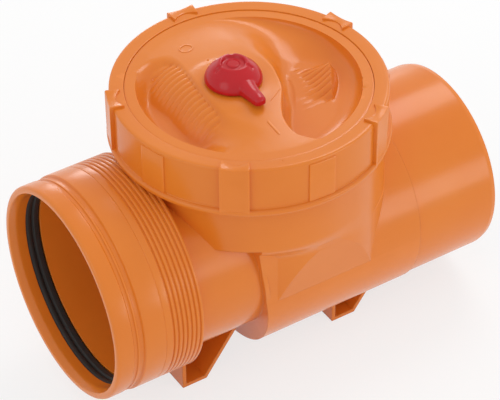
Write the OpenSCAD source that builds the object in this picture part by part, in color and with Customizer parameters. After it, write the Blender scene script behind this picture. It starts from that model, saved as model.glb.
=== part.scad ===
// Backwater valve for a 160 mm drain: inclined gravity flap, screwed cover and hand lock.
// Millimetres, +Z up, +X along the flow, origin on the floor under the middle of the valve.

/* [Pipe connections] */
// Outside diameter of the drain pipe
pipe_od = 160; // [156:1:164]
// Wall of the housing
wall = 4; // [3.6:0.1:4.4]
// Radial room between the pipe and the socket bore
socket_clear = 0.3; // [0.2:0.05:0.45]
// Length of the chamfer on the spigot end
spigot_chamfer = 4; // [2:0.5:8]
// How much thicker the chamber is than the spigot, on the radius
chamber_step = 1.2; // [1:0.1:1.6]
// Cover axis to the spigot end
outlet_len = 186; // [178:1:200]
// Free length of the spigot that a socket slides over
spigot_free = 76; // [60:1:80]
// Height of the outlet axis over the floor
outlet_h = 90; // [88:1:100]
// Rise of the inlet axis over the outlet axis
axis_step = 19; // [16:1:21]

/* [Inlet socket] */
// Wall of the socket outside its seal chamber
seal_wall = 4.5; // [3.5:0.1:5.5]
// Depth from the mouth to the pipe stop
socket_depth = 68; // [62:1:70]
// Length of the socket from its mouth to the end of its shoulder
socket_len = 76.2; // [75.2:0.2:80]
// Room between the socket's shoulder and the shaft
shoulder_gap = 0.3; // [0.2:0.1:2]
// Length of the rounded front lip
lip_len = 15; // [12:0.5:15.5]
// How far the lip stands under the socket's outside, on the radius
lip_drop = 0.8; // [0.4:0.1:1.5]
// Length of the recess behind the lip
recess_len = 9; // [7:0.5:10]
// Depth of the recess behind the lip
recess_depth = 2.2; // [1.4:0.1:2.6]
// Height of the small ridge in the recess
ridge_rise = 1; // [0.5:0.1:1.4]
// Number of grooves round the socket
groove_count = 7; // [5:1:8]
// Distance from groove to groove
groove_pitch = 3.9; // [3.5:0.1:4.2]
// Depth of a groove
groove_depth = 1.3; // [0.8:0.1:1.8]
// Rounding of the socket's shoulder, behind the last groove
shoulder_round = 3; // [2:0.2:4]
// Distance of the seal chamber from the mouth
seal_start = 14; // [12:0.5:16]
// Length of the seal chamber
seal_len = 13; // [10:0.5:15]
// Depth of the seal chamber, on the radius
seal_depth = 4.2; // [3.5:0.1:4.6]

/* [Neck and seat] */
// How far the neck tube stays under the pipe's outside, on the radius
neck_in = 1.75; // [1:0.05:3]
// Cover axis to the outer face of the seat wall, at the outlet axis
seat_back = 37; // [34:1:40]
// Lean of the seat wall
seat_tilt = 7; // [5:0.5:9]
// Thickness of the seat ring
seat_t = 7; // [6:0.5:9]
// How far the seat ring stands into the neck's bore
seat_in = 4.25; // [3:0.05:6]
// Width of the land that the flap closes on
seat_land = 5.3; // [4:0.1:5.4]

/* [Shaft and chamber] */
// Outside diameter of the inspection shaft
shaft_od = 195; // [193:1:197]
// Underside of the shaft over the outlet axis
shaft_floor_h = 63; // [60:1:66]
// How far the shaft's threaded collar stands out of the shaft
collar_step = 5; // [4:0.1:5.5]
// Rise of the shaft's rim over the lock finger
rim_over_finger = 21.4; // [20:0.1:26]
// Diameter of the shaft's foot, where it runs into the chamber
shaft_foot_od = 181; // [178:1:184]
// Shift of the shaft's foot along the flow
shaft_foot_shift = 21; // [18:1:24]
// Width of the ledge under the shaft, where its foot begins
foot_ledge = 1; // [0.6:0.1:1.5]
// Height of the shaft's foot over the outlet axis
shaft_foot_h = 50; // [48:1:52]
// Lean of the flat cheeks on both sides of the chamber
cheek_tilt = 13; // [12:0.5:15]
// Height of the two stop ribs under the screw ring
stop_rib_h = 40; // [30:1:42]
// Angle of the stop ribs from the flow
stop_rib_angle = 44; // [38:1:50]
// Thickness of the stop ribs
stop_rib_t = 3; // [2:0.5:4]
// How far the stop ribs stand out of the shaft
stop_rib_out = 5; // [3:0.5:6]

/* [Feet] */
// Length of a foot along Y
foot_w = 86; // [76:1:96]
// Length of the foot's sole along X
foot_sole = 22; // [18:1:26]
// Plate thickness of a foot
foot_t = 3.2; // [2.6:0.1:4]
// Lean of the foot's rear plate
foot_lean = 36; // [30:1:40]
// Cover axis to the front plate of the front foot
front_foot_back = 92.5; // [90:0.5:95]
// Cover axis to the front plate of the rear foot
rear_foot_out = 51.5; // [46:0.5:56]

/* [Screw ring] */
// Side wall of the ring
ring_wall = 4.2; // [3.6:0.1:5]
// Room between the ring's foot and the socket under it
ring_foot_gap = 0.6; // [0.4:0.1:2]
// Thickness of the ring's top lip
ring_lip_t = 7.5; // [6:0.5:9]
// Height of the bead round the ring's foot
bead_h = 6; // [4:0.5:8]
// How far the bead stands out of the side wall
bead_out = 3.2; // [2.4:0.1:3.6]
// Number of grip lugs, tall and plain ones by turns
lug_count = 10; // [8:2:12]
// Width of a grip lug
lug_w = 22.5; // [19:0.5:26]
// How far a lug stands out of the side wall
lug_out = 3.2; // [2.4:0.1:4]
// How far a tall lug rises over the ring
lug_rise = 1.5; // [1:0.1:2.5]
// How far a tall lug reaches in over the ring's top
lug_reach = 9; // [6:0.5:11]
// Hollow in the inner edge of a tall lug
lug_waist = 6; // [4:0.5:7]
// Hollow in the face of a lug
lug_hollow = 0.8; // [0.4:0.1:1.2]
// Angle of the first tall lug
lug_phase = 15.5; // [0:0.5:36]
// Radial room between ring and shaft, taken up by the thread
thread_room = 0.8; // [0.6:0.1:1.2]

/* [Cover plate] */
// Thickness of the cover's flange
flange_t = 8; // [7:0.5:10]
// How far the flange stays inside the shaft's collar
flange_in = 2.5; // [2:0.1:3.5]
// How far the flange reaches under the ring's lip
flange_grip = 4; // [3:0.5:5]
// Rise of the cover's top over its flange
cover_rise = 6.5; // [5:0.5:7]
// Rise of the cover's domed middle over its rim
cover_crown = 9.2; // [7:0.1:11]
// Length of the plug that enters the shaft
plug_len = 12; // [10:0.5:14]
// Radial room between plug and shaft
plug_clear = 0.6; // [0.4:0.1:1]
// Width of the flat rim round the finger scoops
scoop_rim = 9.6; // [8:0.1:12]
// Depth of the finger scoops
scoop_depth = 16; // [12:0.5:17]
// Thickness of the cover under the scoops
cover_skin = 4; // [3:0.5:5]
// Cover axis to the left side of the bridge
bridge_left = 36; // [34:0.5:38]
// Cover axis to the right side of the bridge, on the left of the axis
bridge_right = 4; // [2:0.5:8]
// Lean of the bridge's right side
bridge_lean = 36; // [25:1:45]
// Radius over which the left scoop runs out to its ends
left_fade_r = 150; // [120:5:180]
// Radius over which the right scoop runs out to its ends
right_fade_r = 230; // [190:5:270]
// How far the right scoop's deepest place lies before the cover axis, along Y
right_fade_shift = 16; // [8:1:18]
// How far the left strip is sunk into the bridge
strip_lap = 0.5; // [0.3:0.1:1]
// Width of a barrelled grip strip
strip_w = 27; // [24:0.5:28]
// Radius of the strip's barrel
strip_r = 24; // [23:0.5:30]
// Bridge's left side to the crest of the left strip
strip_crest_in = 6; // [4:0.5:8]
// How far the left strip lies behind the cover axis, along Y
strip_shift = 15; // [8:1:17]
// How far the left strip's crest lies under the domed top
left_strip_drop = 2; // [1.5:0.5:4]
// Cover axis to the crest of the right grip
wedge_x = 58; // [55:0.5:59]
// Length of the right grip along its crest
wedge_len = 36; // [30:1:40]
// Middle of the right grip before the cover axis, along Y
wedge_shift = 18; // [14:1:24]
// How far the right grip's crest lies under the cover's rim
wedge_drop = 4.6; // [3:0.2:6]
// Slope of the right grip
wedge_slope = 24; // [20:1:28]
// Turn of the right grip's crest from Y
wedge_turn = 17; // [10:1:22]
// Radius over which the right grip's crest falls to its ends
wedge_fall_r = 24; // [22:1:30]
// Radius over which a strip falls to its ends
strip_fall_r = 140; // [120:5:170]
// Number of ribs on a strip
rib_count = 15; // [11:2:17]
// Distance from rib to rib
rib_pitch = 5.8; // [5.4:0.1:6.2]
// Width of a rib
rib_w = 3.2; // [2.6:0.1:3.8]
// Height of a rib
rib_rise = 0.9; // [0.6:0.1:1.2]
// Section diameter of the cover's seal
cover_seal_d = 5; // [4:0.2:5.4]

/* [Knob and lock] */
// Cover axis to the knob axis, against the flow
knob_back = 14; // [13:0.5:15]
// Diameter of the knob's dome
knob_d = 45; // [42:1:48]
// Height of the knob's dome
knob_h = 16; // [14:0.5:20]
// Knob axis to the tip of its lever
lever_len = 40; // [37:1:43]
// Width of the lever at its tip
lever_tip_w = 11; // [9:0.5:13]
// Width of the lever at its root
lever_root_w = 19; // [16:0.5:22]
// Height of the lever
lever_h = 8; // [6.5:0.5:10]
// Diameter of the lock spindle
spindle_d = 12; // [11:0.5:13]
// Radial room between the spindle and its bore
spindle_fit = 0.05; // [0.03:0.01:0.08]
// Outside diameter of the spindle's boss under the cover
boss_d = 24; // [22:0.5:27]
// How far the boss reaches under the cover's plate
boss_len = 4; // [3:0.5:5]
// Radius of the raised ground round the knob
knob_ground_r = 33; // [30:0.5:35]
// Room between the knob and the cover
knob_gap = 0.4; // [0.3:0.1:0.8]
// Section diameter of the spindle's two seals
spindle_seal_d = 2.4; // [2:0.1:2.8]
// Thickness of the thrust washer
washer_t = 1.5; // [1:0.1:2]
// Thickness of the retaining clips
clip_t = 1.2; // [0.8:0.1:1.5]
// Reach of the lock finger's nose from the spindle axis
finger_reach = 12.4; // [11.5:0.1:12.6]
// Height of the lock finger
finger_h = 8; // [6:0.5:9]
// Width of the lock finger's nose
finger_w = 10; // [8:0.5:12]
// Length of the knob's screw
screw_len = 14; // [10:1:18]

/* [Flap] */
// How far the flap plate stays inside the seat ring's edge
flap_in = 0.8; // [0.5:0.1:2]
// Thickness of the flap plate
flap_t = 3; // [2.5:0.1:3.5]
// Thickness of the flap's seal
seal_t = 3.7; // [3.2:0.1:4]
// Gap between the seal and the seat when the flap hangs closed
seat_gap = 0.3; // [0.2:0.05:0.4]
// Thickness of the ring that clamps the seal
clamp_t = 2.2; // [1.8:0.1:2.4]
// Radial room between the clamp ring and the seat's bore
clamp_room = 3; // [2:0.5:4]
// Width of the clamp ring
clamp_w = 15; // [12:0.5:18]
// Number of rivets through the clamp ring
rivet_count = 8; // [6:1:10]
// Diameter of the rivets
rivet_d = 4; // [3:0.5:5]
// Height of the hinge axis over the seat's middle, along the seat
hinge_up = 85; // [84:0.5:88]
// Hinge axis in front of the seat wall
hinge_out = 9; // [8.5:0.5:10]
// Diameter of the hinge pin
pin_d = 8; // [6:0.5:9]
// Radial room between the pin and its bushes
pin_fit = 0.05; // [0.03:0.01:0.08]
// Wall of a hinge bush
bush_wall = 2; // [1.5:0.1:2.5]
// Width of the flap's knuckle
knuckle_w = 35; // [30:1:40]
// Outside diameter of the knuckle
knuckle_d = 14; // [13:0.5:15]
// Thickness of a hinge ear
ear_t = 6; // [5:0.5:8]
// Wall of the eye round a bush
eye_wall = 3; // [2.5:0.1:3.5]
// Side room between the knuckle and a bush
side_room = 0.5; // [0.3:0.1:0.8]
// Reach of the flap's horn from the hinge axis
horn_reach = 12; // [11.5:0.1:12.2]
// Width of the horn
horn_w = 12; // [8:1:16]

/* [Hidden] */
$fn = 96;
over = 1;
flat_gap = 0.2;

orange = [0.86, 0.47, 0.18];
black = [0.1, 0.1, 0.1];
red = [0.72, 0.1, 0.14];
steel = [0.72, 0.73, 0.75];
grey = [0.45, 0.46, 0.48];

pipe_r = pipe_od / 2;
chamber_r = pipe_r + chamber_step;
socket_bore_r = pipe_r + socket_clear;
socket_r = socket_bore_r + seal_depth + seal_wall;
neck_r = pipe_r - neck_in;
neck_bore_r = neck_r - wall;
inlet_len = shaft_od / 2 + shoulder_gap + socket_len;
cover_x = (inlet_len - outlet_len) / 2;
mouth_x = cover_x - inlet_len;
spigot_x = cover_x + outlet_len;
inlet_h = outlet_h + axis_step;
shaft_r = shaft_od / 2;
shaft_bore_r = shaft_r - wall;
collar_r = shaft_r + collar_step;
shaft_foot_r = shaft_foot_od / 2;
shaft_floor_z = outlet_h + shaft_floor_h;
neck_end_x = mouth_x + socket_depth;
spigot_start_x = spigot_x - spigot_free;

// Seat frame: its origin is on the inlet axis, in the inner face of the seat wall
wall_x = cover_x - seat_back;
seat_x = wall_x - axis_step * tan(seat_tilt) + wall / cos(seat_tilt);
seat_bore_r = neck_bore_r - seat_in;
seat_ring_r = seat_bore_r + seat_land;
flap_r = seat_ring_r - flap_in;
seat_flange_r = neck_r + wall;
hinge_x = seat_x + hinge_out * cos(seat_tilt) - hinge_up * sin(seat_tilt);
hinge_z = inlet_h + hinge_up * cos(seat_tilt) + hinge_out * sin(seat_tilt);
pin_r = pin_d / 2;
bush_r = pin_r + bush_wall;
eye_r = bush_r + eye_wall;
knuckle_r = knuckle_d / 2;
bush_flange_t = 1;
ear_in = knuckle_w / 2 + side_room + bush_flange_t;
ear_out = ear_in + ear_t;
clip_gap = 0.3;
pin_overhang = 1.5;
pin_end = ear_out + clip_gap + clip_t + pin_overhang;
finger_lift = 1.8;
finger_z0 = hinge_z + finger_lift;
rim_z = finger_z0 + finger_h + rim_over_finger;

// Flap layers, counted from the seat wall
seal_x0 = seat_t + seat_gap;
plate_x0 = seal_x0 + seal_t;
plate_x1 = plate_x0 + flap_t;
clamp_r = seat_bore_r - clamp_room;
web_t = seal_t / 2;
clamp_x0 = plate_x0 - web_t - clamp_t;
rivet_ring_r = clamp_r - clamp_w / 2;
rivet_head_t = 1.6;

// Cover heights
flange_z0 = rim_z + flat_gap;
flange_z1 = flange_z0 + flange_t;
cover_top_z = flange_z1 + cover_rise;
lip_z0 = flange_z1 + flat_gap;
ring_top_z = lip_z0 + ring_lip_t;
ring_z0 = inlet_h + socket_r + ring_foot_gap;
ring_bore_r = collar_r + thread_room;
ring_r = ring_bore_r + ring_wall;
flange_r = collar_r - flange_in;
opening_r = flange_r - flange_grip;
cover_top_r = opening_r - 0.4;
plug_r = shaft_bore_r - plug_clear;
scoop_r = cover_top_r - scoop_rim;
scoop_od = 2 * scoop_r;
scoop_floor_z = cover_top_z - scoop_depth;
cover_under_z = scoop_floor_z - cover_skin;
plug_z0 = flange_z0 - plug_len;
seal_groove_z = (plug_z0 + flange_z0) / 2;
strip_x = bridge_left + strip_w / 2 - strip_lap;

// Knob and lock heights
knob_x = cover_x - knob_back;
knob_z0 = cover_top_z + cover_crown + knob_gap;
spindle_r = spindle_d / 2;
boss_z0 = cover_under_z - boss_len;
washer_z0 = boss_z0 - washer_t - flat_gap;
clip_z0 = washer_z0 - clip_t;
finger_hub_r = spindle_r + 3;
finger_pin_d = 3;
spindle_top_z = knob_z0 + knob_h * 0.45;
spindle_groove = 1;
horn_rise = 30;

// Points of an arc, from angle a0 to a1
function arc(c, r, a0, a1, n = 8) =
  [for (i = [0:n]) let (a = a0 + (a1 - a0) * i / n) [c[0] + r * cos(a), c[1] + r * sin(a)]];

// A solid of revolution about an axis along X at height h, its profile given as [x, radius]
module turned_x(h, profile) {
  translate([0, 0, h]) rotate([0, 90, 0]) rotate_extrude()
    polygon([for (p = profile) [p[1], p[0]]]);
}

module cylinder_x(x0, x1, r, h) {
  translate([x0, 0, h]) rotate([0, 90, 0]) cylinder(h = x1 - x0, r = r);
}

module cylinder_y(y0, y1, r) {
  translate([0, y1, 0]) rotate([90, 0, 0]) cylinder(h = y1 - y0, r = r);
}

// A profile in X and Z, drawn along Y between two stations
module along_y(y0, y1) {
  translate([0, y1, 0]) rotate([90, 0, 0]) linear_extrude(y1 - y0) children();
}

// The frame of the seat: +X away from the seat wall, +Z up along it
module on_seat() {
  translate([seat_x, 0, inlet_h]) rotate([0, -seat_tilt, 0]) children();
}

// The frame of the hinge, with the same lean as the seat
module on_hinge() {
  on_seat() translate([hinge_out, 0, hinge_up]) children();
}

// Everything downstream of the seat wall's outer face, or of its inner face
module past_seat_wall(inner) {
  depth = inner ? 0 : -wall;
  size = 3 * inlet_len;
  on_seat() translate([depth, -size / 2, -size / 2]) cube(size);
}

// The shaft's foot: an upright drum shifted along the flow, lofted up to the shaft's floor
module shaft_foot(inset) {
  slice = 0.1;
  drum_x = cover_x + shaft_foot_shift;
  top_r = shaft_r - foot_ledge - inset;
  translate([drum_x, 0, outlet_h]) cylinder(h = shaft_foot_h, r = shaft_foot_r - inset);
  hull() {
    translate([cover_x, 0, shaft_floor_z - slice]) cylinder(h = slice, r = top_r);
    translate([drum_x, 0, outlet_h + shaft_foot_h - slice]) cylinder(h = slice, r = shaft_foot_r - inset);
  }
  if (inset > 0) translate([cover_x, 0, shaft_floor_z - slice / 2])
    cylinder(h = inset + slice, r = top_r - foot_ledge);
}

// The room between the two flat cheeks, which touch the chamber at its widest line
module between_cheeks(inset) {
  half = chamber_r - inset;
  top = shaft_floor_z + 2 * wall;
  flare = (top - outlet_h) * tan(cheek_tilt);
  translate([cover_x - shaft_od, 0, 0]) rotate([90, 0, 90]) linear_extrude(2 * shaft_od)
    polygon([[-half, outlet_h], [half, outlet_h], [half + flare, top], [-half - flare, top]]);
}

module chamber(inset) {
  half = chamber_r - inset;
  x0 = wall_x - pipe_r;
  intersection() {
    union() {
      cylinder_x(x0, spigot_start_x, half, outlet_h);
      translate([x0, -half, outlet_h]) cube([cover_x - x0, 2 * half, shaft_floor_h + wall]);
      intersection() {
        shaft_foot(inset);
        between_cheeks(inset);
      }
    }
    past_seat_wall(inset > 0);
  }
}

module shaft(inset) {
  z0 = shaft_floor_z + inset;
  translate([cover_x, 0, z0]) cylinder(h = rim_z - z0 + (inset > 0 ? over : 0), r = shaft_r - inset);
}

// The thicker collar inside the screw ring, which bears the thread
module shaft_collar() {
  z0 = ring_z0 + bead_h / 2;
  lead = collar_r - shaft_r;
  translate([cover_x, 0, 0]) rotate_extrude()
    polygon([[shaft_r - wall / 2, z0], [shaft_r, z0], [collar_r, z0 + lead], [collar_r, rim_z - 1],
      [collar_r - 1, rim_z], [shaft_r - wall / 2, rim_z]]);
}

module spigot() {
  bevel = spigot_chamfer * tan(15);
  turned_x(outlet_h, [[spigot_start_x - over, 0], [spigot_start_x - over, pipe_r],
    [spigot_x - spigot_chamfer, pipe_r], [spigot_x, pipe_r - bevel], [spigot_x, 0]]);
}

// The neck tube runs from the socket's stop to the seat wall's inner face
module neck(r) {
  difference() {
    cylinder_x(neck_end_x, cover_x, r, inlet_h);
    past_seat_wall(true);
  }
}

// A foot: upright front plate, flat sole and leaning rear plate, open at both ends
module foot(x0, top_z) {
  slope = tan(foot_lean);
  run = foot_sole + top_z * slope;
  inner_run = foot_sole - foot_t / cos(foot_lean) + top_z * slope;
  along_y(-foot_w / 2, foot_w / 2) translate([x0, 0]) difference() {
    polygon([[0, 0], [foot_sole, 0], [run, top_z], [0, top_z]]);
    polygon([[foot_t, foot_t], [foot_sole - foot_t / cos(foot_lean) + foot_t * slope, foot_t],
      [inner_run, top_z], [inner_run, top_z + over], [foot_t, top_z + over]]);
  }
}

module feet() {
  front_x = cover_x - front_foot_back;
  rear_x = cover_x + rear_foot_out;
  difference() {
    foot(front_x, inlet_h - neck_bore_r * 0.75);
    cylinder_x(front_x - over, cover_x, neck_bore_r + wall / 2, inlet_h);
    past_seat_wall(false);
  }
  difference() {
    foot(rear_x, outlet_h - pipe_r * 0.75);
    cylinder_x(rear_x - over, spigot_x, chamber_r - wall / 2, outlet_h);
  }
}

module stop_ribs() {
  for (side = [-1, 1])
    translate([cover_x, 0, ring_z0 - flat_gap - stop_rib_h]) rotate(side * stop_rib_angle)
      translate([shaft_r - wall / 2, -stop_rib_t / 2, 0])
        cube([stop_rib_out + wall / 2, stop_rib_t, stop_rib_h]);
}

module valve_body() {
  color(orange) difference() {
    union() {
      difference() {
        union() {
          chamber(0);
          shaft(0);
          shaft_collar();
          spigot();
          feet();
          stop_ribs();
        }
        chamber(wall);
        shaft(wall);
        cylinder_x(spigot_start_x - over, spigot_x + over, pipe_r - wall, outlet_h);
      }
      neck(neck_r);
      on_seat() translate([-wall, 0, 0]) rotate([0, 90, 0]) cylinder(h = wall, r = seat_flange_r);
    }
    cylinder_x(neck_end_x - over, cover_x, neck_bore_r, inlet_h);
  }
}

// Socket, profiled as one turned section: lip, recess with ridge, seal chamber, grooves, shoulder
module inlet_socket() {
  lip_r = socket_r - lip_drop;
  lip_round = 3;
  mouth = 6;
  recess_x = mouth_x + lip_len;
  recess_r = socket_r - recess_depth;
  ridge = recess_len / 4;
  end_x = mouth_x + socket_len;
  groove_half = groove_pitch * 0.22;
  groove_x0 = end_x - shoulder_round - 1.2 * groove_half - (groove_count - 1) * groove_pitch;
  color(orange) difference() {
    turned_x(inlet_h, concat(
      [[mouth_x, socket_bore_r + 2], [mouth_x, lip_r - lip_round]],
      [for (p = arc([mouth_x + lip_round, lip_r - lip_round], lip_round, 180, 90, 6)) p],
      [[recess_x - 1, lip_r], [recess_x, recess_r],
        [recess_x + ridge, recess_r], [recess_x + ridge, recess_r + ridge_rise],
        [recess_x + 2 * ridge, recess_r + ridge_rise], [recess_x + 2 * ridge, recess_r],
        [recess_x + recess_len - 1, recess_r], [recess_x + recess_len, socket_r]],
      [for (i = [0:groove_count - 1]) let (x = groove_x0 + i * groove_pitch)
        each [[x - groove_half, socket_r], [x - groove_half / 2, socket_r - groove_depth],
          [x + groove_half / 2, socket_r - groove_depth], [x + groove_half, socket_r]]],
      [for (p = arc([end_x - shoulder_round, socket_r - shoulder_round], shoulder_round, 90, 0, 6)) p],
      [[end_x, neck_r], [neck_end_x, neck_r], [neck_end_x, socket_bore_r],
        [mouth_x + mouth, socket_bore_r]]));
    turned_x(inlet_h, [[mouth_x + seal_start, socket_bore_r - over],
      [mouth_x + seal_start, socket_bore_r + seal_depth],
      [mouth_x + seal_start + seal_len, socket_bore_r + seal_depth],
      [mouth_x + seal_start + seal_len, socket_bore_r - over]]);
  }
}

// Lip seal in the socket's chamber, its lip laid back as a pushed-in pipe leaves it
module socket_seal() {
  x0 = mouth_x + seal_start;
  x1 = x0 + seal_len;
  lip = seal_depth * 0.4;
  r0 = socket_bore_r;
  color(black) turned_x(inlet_h, [[x0, r0 + lip], [x0 + lip, r0], [x1 - lip, r0], [x1, r0 + lip],
    [x1, r0 + seal_depth], [x0, r0 + seal_depth]]);
}

// Seat ring bonded to the seat wall, with the two ears that carry the flap
module seat_ring() {
  foot_z = seat_ring_r - 3 * seat_land;
  color(grey) on_seat() difference() {
    union() {
      rotate([0, 90, 0]) cylinder(h = seat_t, r = seat_ring_r);
      for (side = [-1, 1])
        along_y(min(side * ear_in, side * ear_out), max(side * ear_in, side * ear_out)) {
          translate([hinge_out, hinge_up]) circle(r = eye_r);
          polygon([[0, foot_z], [seat_t, foot_z], [seat_t, seat_ring_r],
            [hinge_out + eye_r * 0.7, hinge_up - eye_r * 0.7],
            [hinge_out - eye_r * 0.7, hinge_up + eye_r * 0.7], [0, seat_ring_r + seat_land]]);
        }
    }
    rotate([0, 90, 0]) translate([0, 0, -over]) cylinder(h = seat_t + 2 * over, r = seat_bore_r);
    translate([hinge_out, 0, hinge_up]) cylinder_y(-ear_out - over, ear_out + over, bush_r);
  }
}

// Flanged plain bushes in the ears
module hinge_bushes() {
  color("black") on_hinge() for (side = [-1, 1]) mirror([0, side > 0 ? 0 : 1, 0]) difference() {
    union() {
      cylinder_y(ear_in, ear_out, bush_r);
      cylinder_y(ear_in - bush_flange_t, ear_in, bush_r + 1.5);
    }
    cylinder_y(ear_in - 2 * bush_flange_t, ear_out + over, pin_r + pin_fit);
  }
}

// Rise of the domed top over the rim, at a distance from the cover axis
function crown_at(r) = cover_crown * (1 - pow(r / scoop_r, 2));

// One finger scoop as a cutter: a bowl turned about the cover axis, running out along Y
module scoop(side, fade_r, shift) {
  edge = 1.5;
  bowl_round = 9;
  rise = scoop_depth * 0.3;
  top = cover_top_z + cover_crown + over;
  intersection() {
    translate([cover_x, 0, 0]) rotate_extrude() polygon(concat(
      [[0, top], [scoop_r + edge, top], [scoop_r + edge, cover_top_z], [scoop_r, cover_top_z - edge]],
      arc([scoop_r - bowl_round - 2, scoop_floor_z + bowl_round], bowl_round, 0, -90),
      [[0, scoop_floor_z + rise]]));
    translate([cover_x - scoop_od, -shift, scoop_floor_z + fade_r]) rotate([0, 90, 0])
      cylinder(h = 2 * scoop_od, r = fade_r);
    translate([cover_x, 0, 0]) along_y(-scoop_od, scoop_od) if (side < 0)
      polygon([[-scoop_od, 0], [-bridge_left, 0], [-bridge_left, top], [-scoop_od, top]]);
    else
      polygon([[scoop_od, 0], [-bridge_right + scoop_depth * tan(bridge_lean), 0],
        [-bridge_right + scoop_depth * tan(bridge_lean), scoop_floor_z],
        [-bridge_right - (top - cover_top_z) * tan(bridge_lean), top], [scoop_od, top]]);
  }
}

// The raised ground that flares out round the knob
module knob_ground() {
  translate([knob_x, 0, cover_under_z])
    cylinder(h = cover_top_z + cover_crown - cover_under_z, r1 = knob_ground_r + scoop_depth,
      r2 = knob_ground_r);
}

// The left grip: a barrelled strip on the bridge's flank, swelled by rise to draw the ribs
module strip_form(rise, margin) {
  crest_x = bridge_left + strip_crest_in;
  crest = cover_top_z + crown_at(crest_x) - left_strip_drop;
  half = strip_w / 2 - margin;
  intersection() {
    translate([cover_x - crest_x, 0, crest - strip_r]) cylinder_y(-scoop_r, scoop_r, strip_r + rise);
    translate([cover_x - strip_x - half, -scoop_r, cover_under_z])
      cube([2 * half, scoop_od, 2 * scoop_depth]);
    translate([0, strip_shift, 0])
      cylinder_x(cover_x - scoop_r, cover_x + scoop_r, strip_fall_r + rise, crest - strip_fall_r);
    translate([cover_x, 0, cover_under_z]) cylinder(h = 2 * scoop_depth, r = scoop_r - 3);
  }
}

module grip_strip() {
  margin = 1.2;
  strip_form(0, 0);
  for (i = [0:rib_count - 1]) let (y = strip_shift + (i - (rib_count - 1) / 2) * rib_pitch)
    intersection() {
      strip_form(rib_rise, margin);
      translate([cover_x - scoop_r, y - rib_w / 2, cover_under_z]) cube([scoop_od, rib_w, 2 * scoop_depth]);
    }
}

// The right grip: a wedge that rises away from the bridge, swelled by rise to draw the ribs
module wedge_form(rise) {
  crest = cover_top_z - wedge_drop;
  root = cover_under_z + cover_skin / 2;
  run = (crest - root) / tan(wedge_slope);
  back_run = 3;
  intersection() {
    along_y(-wedge_len / 2, wedge_len / 2)
      polygon([[-run, root], [-run, root + rise], [-rise, crest + rise], [0, crest], [back_run, root]]);
    cylinder_x(-2 * run, 2 * run, wedge_fall_r + rise, crest - wedge_fall_r);
  }
}

module grip_wedge() {
  rib_n = floor(wedge_len / rib_pitch);
  translate([cover_x + wedge_x, -wedge_shift, 0]) rotate(-wedge_turn) {
    wedge_form(0);
    for (i = [0:rib_n - 1]) let (y = (i - (rib_n - 1) / 2) * rib_pitch)
      intersection() {
        wedge_form(rib_rise);
        translate([-scoop_r, y - rib_w / 2, cover_under_z]) cube([scoop_od, rib_w, 2 * scoop_depth]);
      }
  }
}

// The cover's underside is cored out under the bridge, round the spindle's boss
module bridge_core() {
  x0 = cover_x - bridge_left + cover_skin;
  x1 = cover_x - bridge_right - cover_skin;
  len = scoop_od * 0.7;
  difference() {
    translate([x0, -len / 2, cover_under_z - over])
      cube([x1 - x0, len, scoop_depth + over]);
    translate([knob_x, 0, cover_under_z - 2 * over]) cylinder(h = 2 * scoop_depth, d = boss_d);
    translate([x0, -cover_skin / 2, cover_under_z - 2 * over]) cube([x1 - x0, cover_skin, 2 * scoop_depth]);
  }
}

module cover_plate() {
  edge = 1.5;
  groove_half = cover_seal_d / 2 + flat_gap;
  groove_r = plug_r - cover_seal_d + 0.4;
  plug_wall = 9;
  crown_steps = 8;
  color(orange) difference() {
    union() {
      difference() {
        translate([cover_x, 0, 0]) rotate_extrude() polygon([[0, cover_under_z],
          [plug_r - plug_wall, cover_under_z], [plug_r - plug_wall, plug_z0], [plug_r, plug_z0],
          [plug_r, seal_groove_z - groove_half], [groove_r, seal_groove_z - groove_half],
          [groove_r, seal_groove_z + groove_half], [plug_r, seal_groove_z + groove_half],
          [plug_r, flange_z0], [flange_r, flange_z0], [flange_r, flange_z1],
          [cover_top_r, flange_z1], [cover_top_r, cover_top_z - edge],
          [cover_top_r - edge, cover_top_z],
          each [for (i = [0:crown_steps]) let (r = scoop_r * (1 - i / crown_steps))
            [r, cover_top_z + crown_at(r)]]]);
        scoop(-1, left_fade_r, 0);
        difference() {
          scoop(1, right_fade_r, right_fade_shift);
          knob_ground();
        }
        bridge_core();
      }
      grip_strip();
      grip_wedge();
      translate([knob_x, 0, boss_z0]) cylinder(h = cover_top_z - boss_z0 - cover_skin, d = boss_d);
    }
    translate([knob_x, 0, boss_z0 - over]) cylinder(h = cover_top_z + cover_crown - boss_z0 + 2 * over,
      r = spindle_r + spindle_fit);
  }
}

// Round seal in the plug's groove
module cover_seal() {
  color(black) translate([cover_x, 0, seal_groove_z]) rotate_extrude()
    translate([plug_r + 0.4 - cover_seal_d / 2, 0]) circle(d = cover_seal_d);
}

// A lug's outline, seen from above: a block with a hollow face and, on tall ones, a waist
module lug_outline(reach, waist = 0) {
  half = lug_w / 2;
  out = ring_r + lug_out;
  hollow_r = (half * half + lug_hollow * lug_hollow) / (2 * lug_hollow);
  difference() {
    translate([ring_r - reach, -half]) square([reach + lug_out, lug_w]);
    translate([out - lug_hollow + hollow_r, 0]) circle(r = hollow_r);
    if (waist > 0) let (waist_r = (half * half + waist * waist) / (2 * waist))
      translate([ring_r - reach + waist - waist_r, 0]) circle(r = waist_r);
  }
}

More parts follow.
